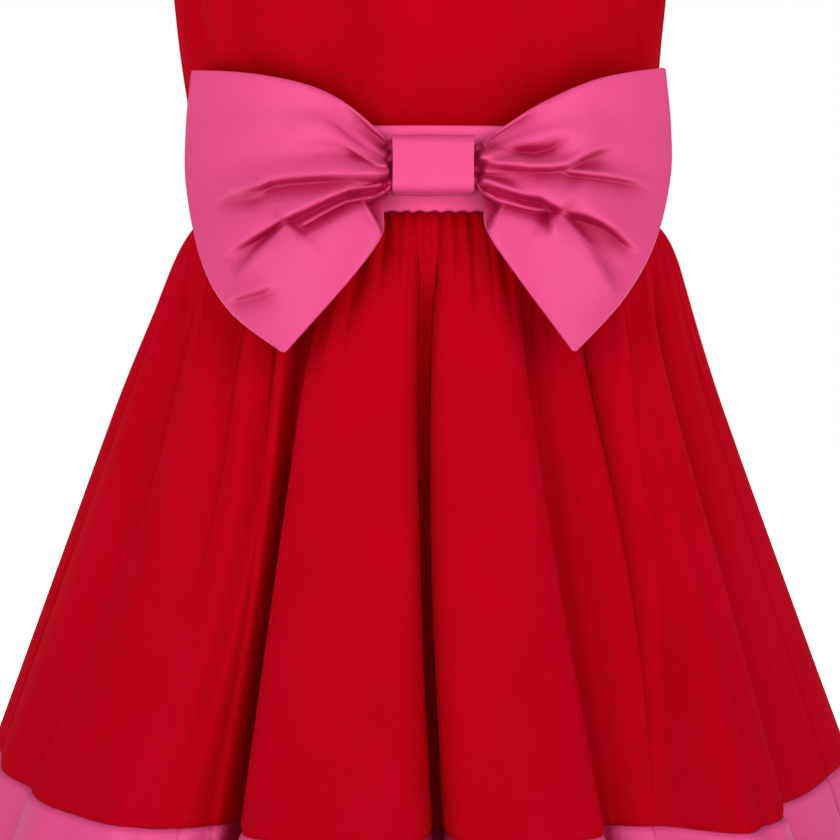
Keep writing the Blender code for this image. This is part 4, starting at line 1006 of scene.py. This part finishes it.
for wing_name, wing in (("right", RIGHT_WING), ("left", LEFT_WING)):
    loop = build_wing(f"bow_wing_{wing_name}_cloth", wing)
    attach(loop, "garment")
    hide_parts(f"bow_wing_{wing_name}")

# Knot
# A short strip of the satin with its sides turned under, wrapped over the pleated middle of the bow and
# sewn together behind it. It draws in a little at its middle and has faint lengthways pleats.

KNOT_THICKNESS = 0.0012
KNOT_BEND = 0.004
KNOT_CLEARANCE = 0.0003
KNOT_CROWN = 0.0006
KNOT_DRAW = 0.0004
KNOT_FRONT_DEPTH = 0.006
KNOT_PLEATS = (
    # in mm: place across from the middle, half width, height
    (-9.5, 2.6, -0.12),
    (-2, 3.4, 0.10),
    (8, 3, -0.14),
)


def build_knot():
    """The strip runs over the bow from its lower back edge to its upper one, with its sides turned under."""
    half = KNOT_HEIGHT / 2
    bent = half - KNOT_BEND
    band_front = BAND_THICKNESS / 2 - body_point(0.0, KNOT_Z + half, BAND_OUT)[1]
    front = band_front + KNOT_STAND
    back = band_front + KNOT_CLEARANCE
    bend = np.radians(np.linspace(0, 90, 12))
    upper = [(stand, half) for stand in np.linspace(back, front - KNOT_BEND, 16, endpoint=False)]
    upper += [(front - KNOT_BEND * (1 - math.sin(t)), bent + KNOT_BEND * math.cos(t)) for t in bend]
    upper += [(front + KNOT_CROWN * (1 - (up / bent) ** 2), up) for up in np.linspace(bent, 0, 16)[1:]]
    profile = upper + [(stand, -up) for stand, up in reversed(upper[:-1])]
    stand, up = np.array(profile[::-1]).T[..., None]
    share = np.concatenate([(-1.0, -0.993, -0.98), np.linspace(-0.96, 0.96, 52), (0.98, 0.993, 1.0)])
    x = share * (KNOT_WIDTH / 2 - KNOT_DRAW * (1 - (up / half) ** 2))
    grid = np.stack([KNOT_X + x, -stand + 0 * x, KNOT_Z + up + 0 * x], axis=-1)
    normals = facing(grid)
    depth = 0
    for place, width, height in KNOT_PLEATS:
        depth = depth + height / 1000 * np.exp(-(((x * 1000 - place) / width) ** 2))
    grid = grid + normals * (depth * ease((stand - back) / KNOT_FRONT_DEPTH))[..., None]
    thickness = KNOT_THICKNESS * rounded_edge(KNOT_WIDTH / 2 - np.abs(x), KNOT_THICKNESS)
    return shell("bow_knot_cloth", grid, normals, thickness, satin)


knot = build_knot()
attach(knot, "garment")
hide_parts("bow_knot")

# Zip
# A concealed zip down the centre back: a woven polyester tape sewn inside the seam, and a die-cast zinc
# slider and pull, enamelled to match the velvet. The pull turns on the slider's bridge.

ZIP_BEVEL = 0.00022

# Woven polyester tape: piece-dyed to match, matt, with fine ribs across it.
TAPE_RIB = 0.0011
TAPE_DARK = "7A0014"
TAPE_LIGHT = "9C0018"


def tape_coat(tree):
    rib = {"Vector": add_node(tree, "TexCoord", "Object"), "Scale": WAVE_ONCE / TAPE_RIB, "Distortion": 0.4}
    ribs = add_node(tree, "TexWave", "Fac", rib, bands_direction="Z")
    tint = {"Fac": ribs, "Color1": linear(TAPE_DARK), "Color2": linear(TAPE_LIGHT)}
    return {
        "Base Color": add_node(tree, "MixRGB", "Color", tint),
        "Roughness": 0.8,
        "Specular IOR Level": 0.2,
        "Normal": add_node(tree, "Bump", "Normal", {"Strength": 0.4, "Distance": 0.0002, "Height": ribs}),
    }


# Enamelled zinc: a stoved coat over the die-cast slider. It is smooth and glossy with faint ripples, and
# duller in patches.
ENAMEL_DEEP = "96001A"
ENAMEL_BRIGHT = "B4001E"
ENAMEL_RIPPLES = 900.0  # in a metre


def enamel_coat(tree):
    ripple = {"Vector": add_node(tree, "TexCoord", "Object"), "Scale": ENAMEL_RIPPLES, "Detail": 3.0}
    ripples = add_node(tree, "TexNoise", "Fac", ripple)
    tint = {"Fac": ripples, "Color1": linear(ENAMEL_DEEP), "Color2": linear(ENAMEL_BRIGHT)}
    return {
        "Base Color": add_node(tree, "MixRGB", "Color", tint),
        "Roughness": add_node(tree, "MapRange", "Result", {"Value": ripples, "To Min": 0.22, "To Max": 0.38}),
        "Specular IOR Level": 0.5,
        "Normal": add_node(tree, "Bump", "Normal", {"Strength": 0.08, "Distance": 0.0001, "Height": ripples}),
    }


tape = new_material("woven_tape", tape_coat)
enamel = new_material("enamelled_zinc", enamel_coat)
for node_name, finish in (("zip_tape", tape), ("zip_slider", enamel), ("zip_pull", enamel)):
    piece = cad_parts[node_name]
    piece.data.materials.clear()
    piece.data.materials.append(finish)
    if finish is enamel:
        bevel = piece.modifiers.new("bevel", "BEVEL")
        bevel.width = ZIP_BEVEL
        bevel.segments = 3
        bevel.limit_method = "ANGLE"

# Studio
# A sheet of matt paper under the hem, two softboxes in front and an even white surround. The paper has a
# painted glow that grows the further out it is, so that it runs into the white.

FLOOR_Z = -0.5136
FLOOR_HALF_WIDTH = 5.0
GLOW_START = 0.56
GLOW_FULL = 0.72
PAPER_WHITE = "F2F2F2"
LIGHT_WHITE = "FFFFFF"
LIGHT_SIZE = 1.7
LIGHT_TARGET = Vector((0.0, 0.0, -0.28))
LIGHTS = {
    # name: place, watts
    "left softbox": (Vector((-1.35, -1.75, 0.50)), 25.0),
    "right softbox": (Vector((1.35, -1.75, 0.50)), 24.0),
}
SURROUND_LIGHT = 0.30
SURROUND_SHINE = 0.10
CAMERA_DISTANCE = 1.0
CAMERA_HEIGHT = -0.2825
CAMERA_SHIFT = -55 / 840
SENSOR_WIDTH = 36.0
FRAME_WIDTH = 840 * 0.000445


# Matt paper: uncoated and bright white, with no shine to speak of.
def paper_coat(tree):
    place = add_node(tree, "TexCoord", "Object")
    reach = add_node(tree, "VectorMath", "Value", {0: place}, operation="LENGTH")
    glow = {"Value": reach, "From Min": GLOW_START, "From Max": GLOW_FULL}
    return {
        "Base Color": linear(PAPER_WHITE),
        "Roughness": 0.9,
        "Specular IOR Level": 0.1,
        "Emission Color": linear(LIGHT_WHITE),
        "Emission Strength": add_node(tree, "MapRange", "Result", glow),
    }


floor_mesh = bpy.data.meshes.new("studio_floor")
sides = ((-1, -1), (1, -1), (1, 1), (-1, 1))
corners = [(x * FLOOR_HALF_WIDTH, y * FLOOR_HALF_WIDTH, FLOOR_Z) for x, y in sides]
floor_mesh.from_pydata(corners, [], [(0, 1, 2, 3)])
floor_mesh.materials.append(new_material("matt_paper", paper_coat))
floor = bpy.data.objects.new("studio_floor", floor_mesh)
bpy.context.scene.collection.objects.link(floor)

for light_name, (light_place, watts) in LIGHTS.items():
    lamp = bpy.data.lights.new(light_name, "AREA")
    lamp.size = LIGHT_SIZE
    lamp.energy = watts
    light = bpy.data.objects.new(light_name, lamp)
    light.location = light_place
    light.rotation_euler = (LIGHT_TARGET - light_place).to_track_quat("-Z", "Y").to_euler()
    bpy.context.scene.collection.objects.link(light)

world = bpy.data.worlds.new("studio")
world.use_nodes = True
tree = world.node_tree
tree.nodes.clear()
glossy = add_node(tree, "LightPath", "Is Glossy Ray")
shares = {"Value": glossy, "To Min": SURROUND_LIGHT, "To Max": SURROUND_SHINE}
strength = add_node(tree, "MapRange", "Result", shares)
white = {"Color": linear(LIGHT_WHITE)}
surround = add_node(tree, "Background", "Background", {**white, "Strength": strength})
backdrop = add_node(tree, "Background", "Background", {**white, "Strength": 1.0})
seen = {0: add_node(tree, "LightPath", "Is Camera Ray"), 1: surround, 2: backdrop}
add_node(tree, "OutputWorld", "", {"Surface": add_node(tree, "MixShader", "Shader", seen)})
bpy.context.scene.world = world

camera = bpy.data.objects.new("camera", bpy.data.cameras.new("camera"))
camera.location = (0.0, -CAMERA_DISTANCE, CAMERA_HEIGHT)
camera.rotation_euler = (math.radians(90), 0.0, 0.0)
camera.data.sensor_width = SENSOR_WIDTH
camera.data.lens = SENSOR_WIDTH * CAMERA_DISTANCE / FRAME_WIDTH
camera.data.shift_y = CAMERA_SHIFT
bpy.context.scene.collection.objects.link(camera)
bpy.context.scene.camera = camera
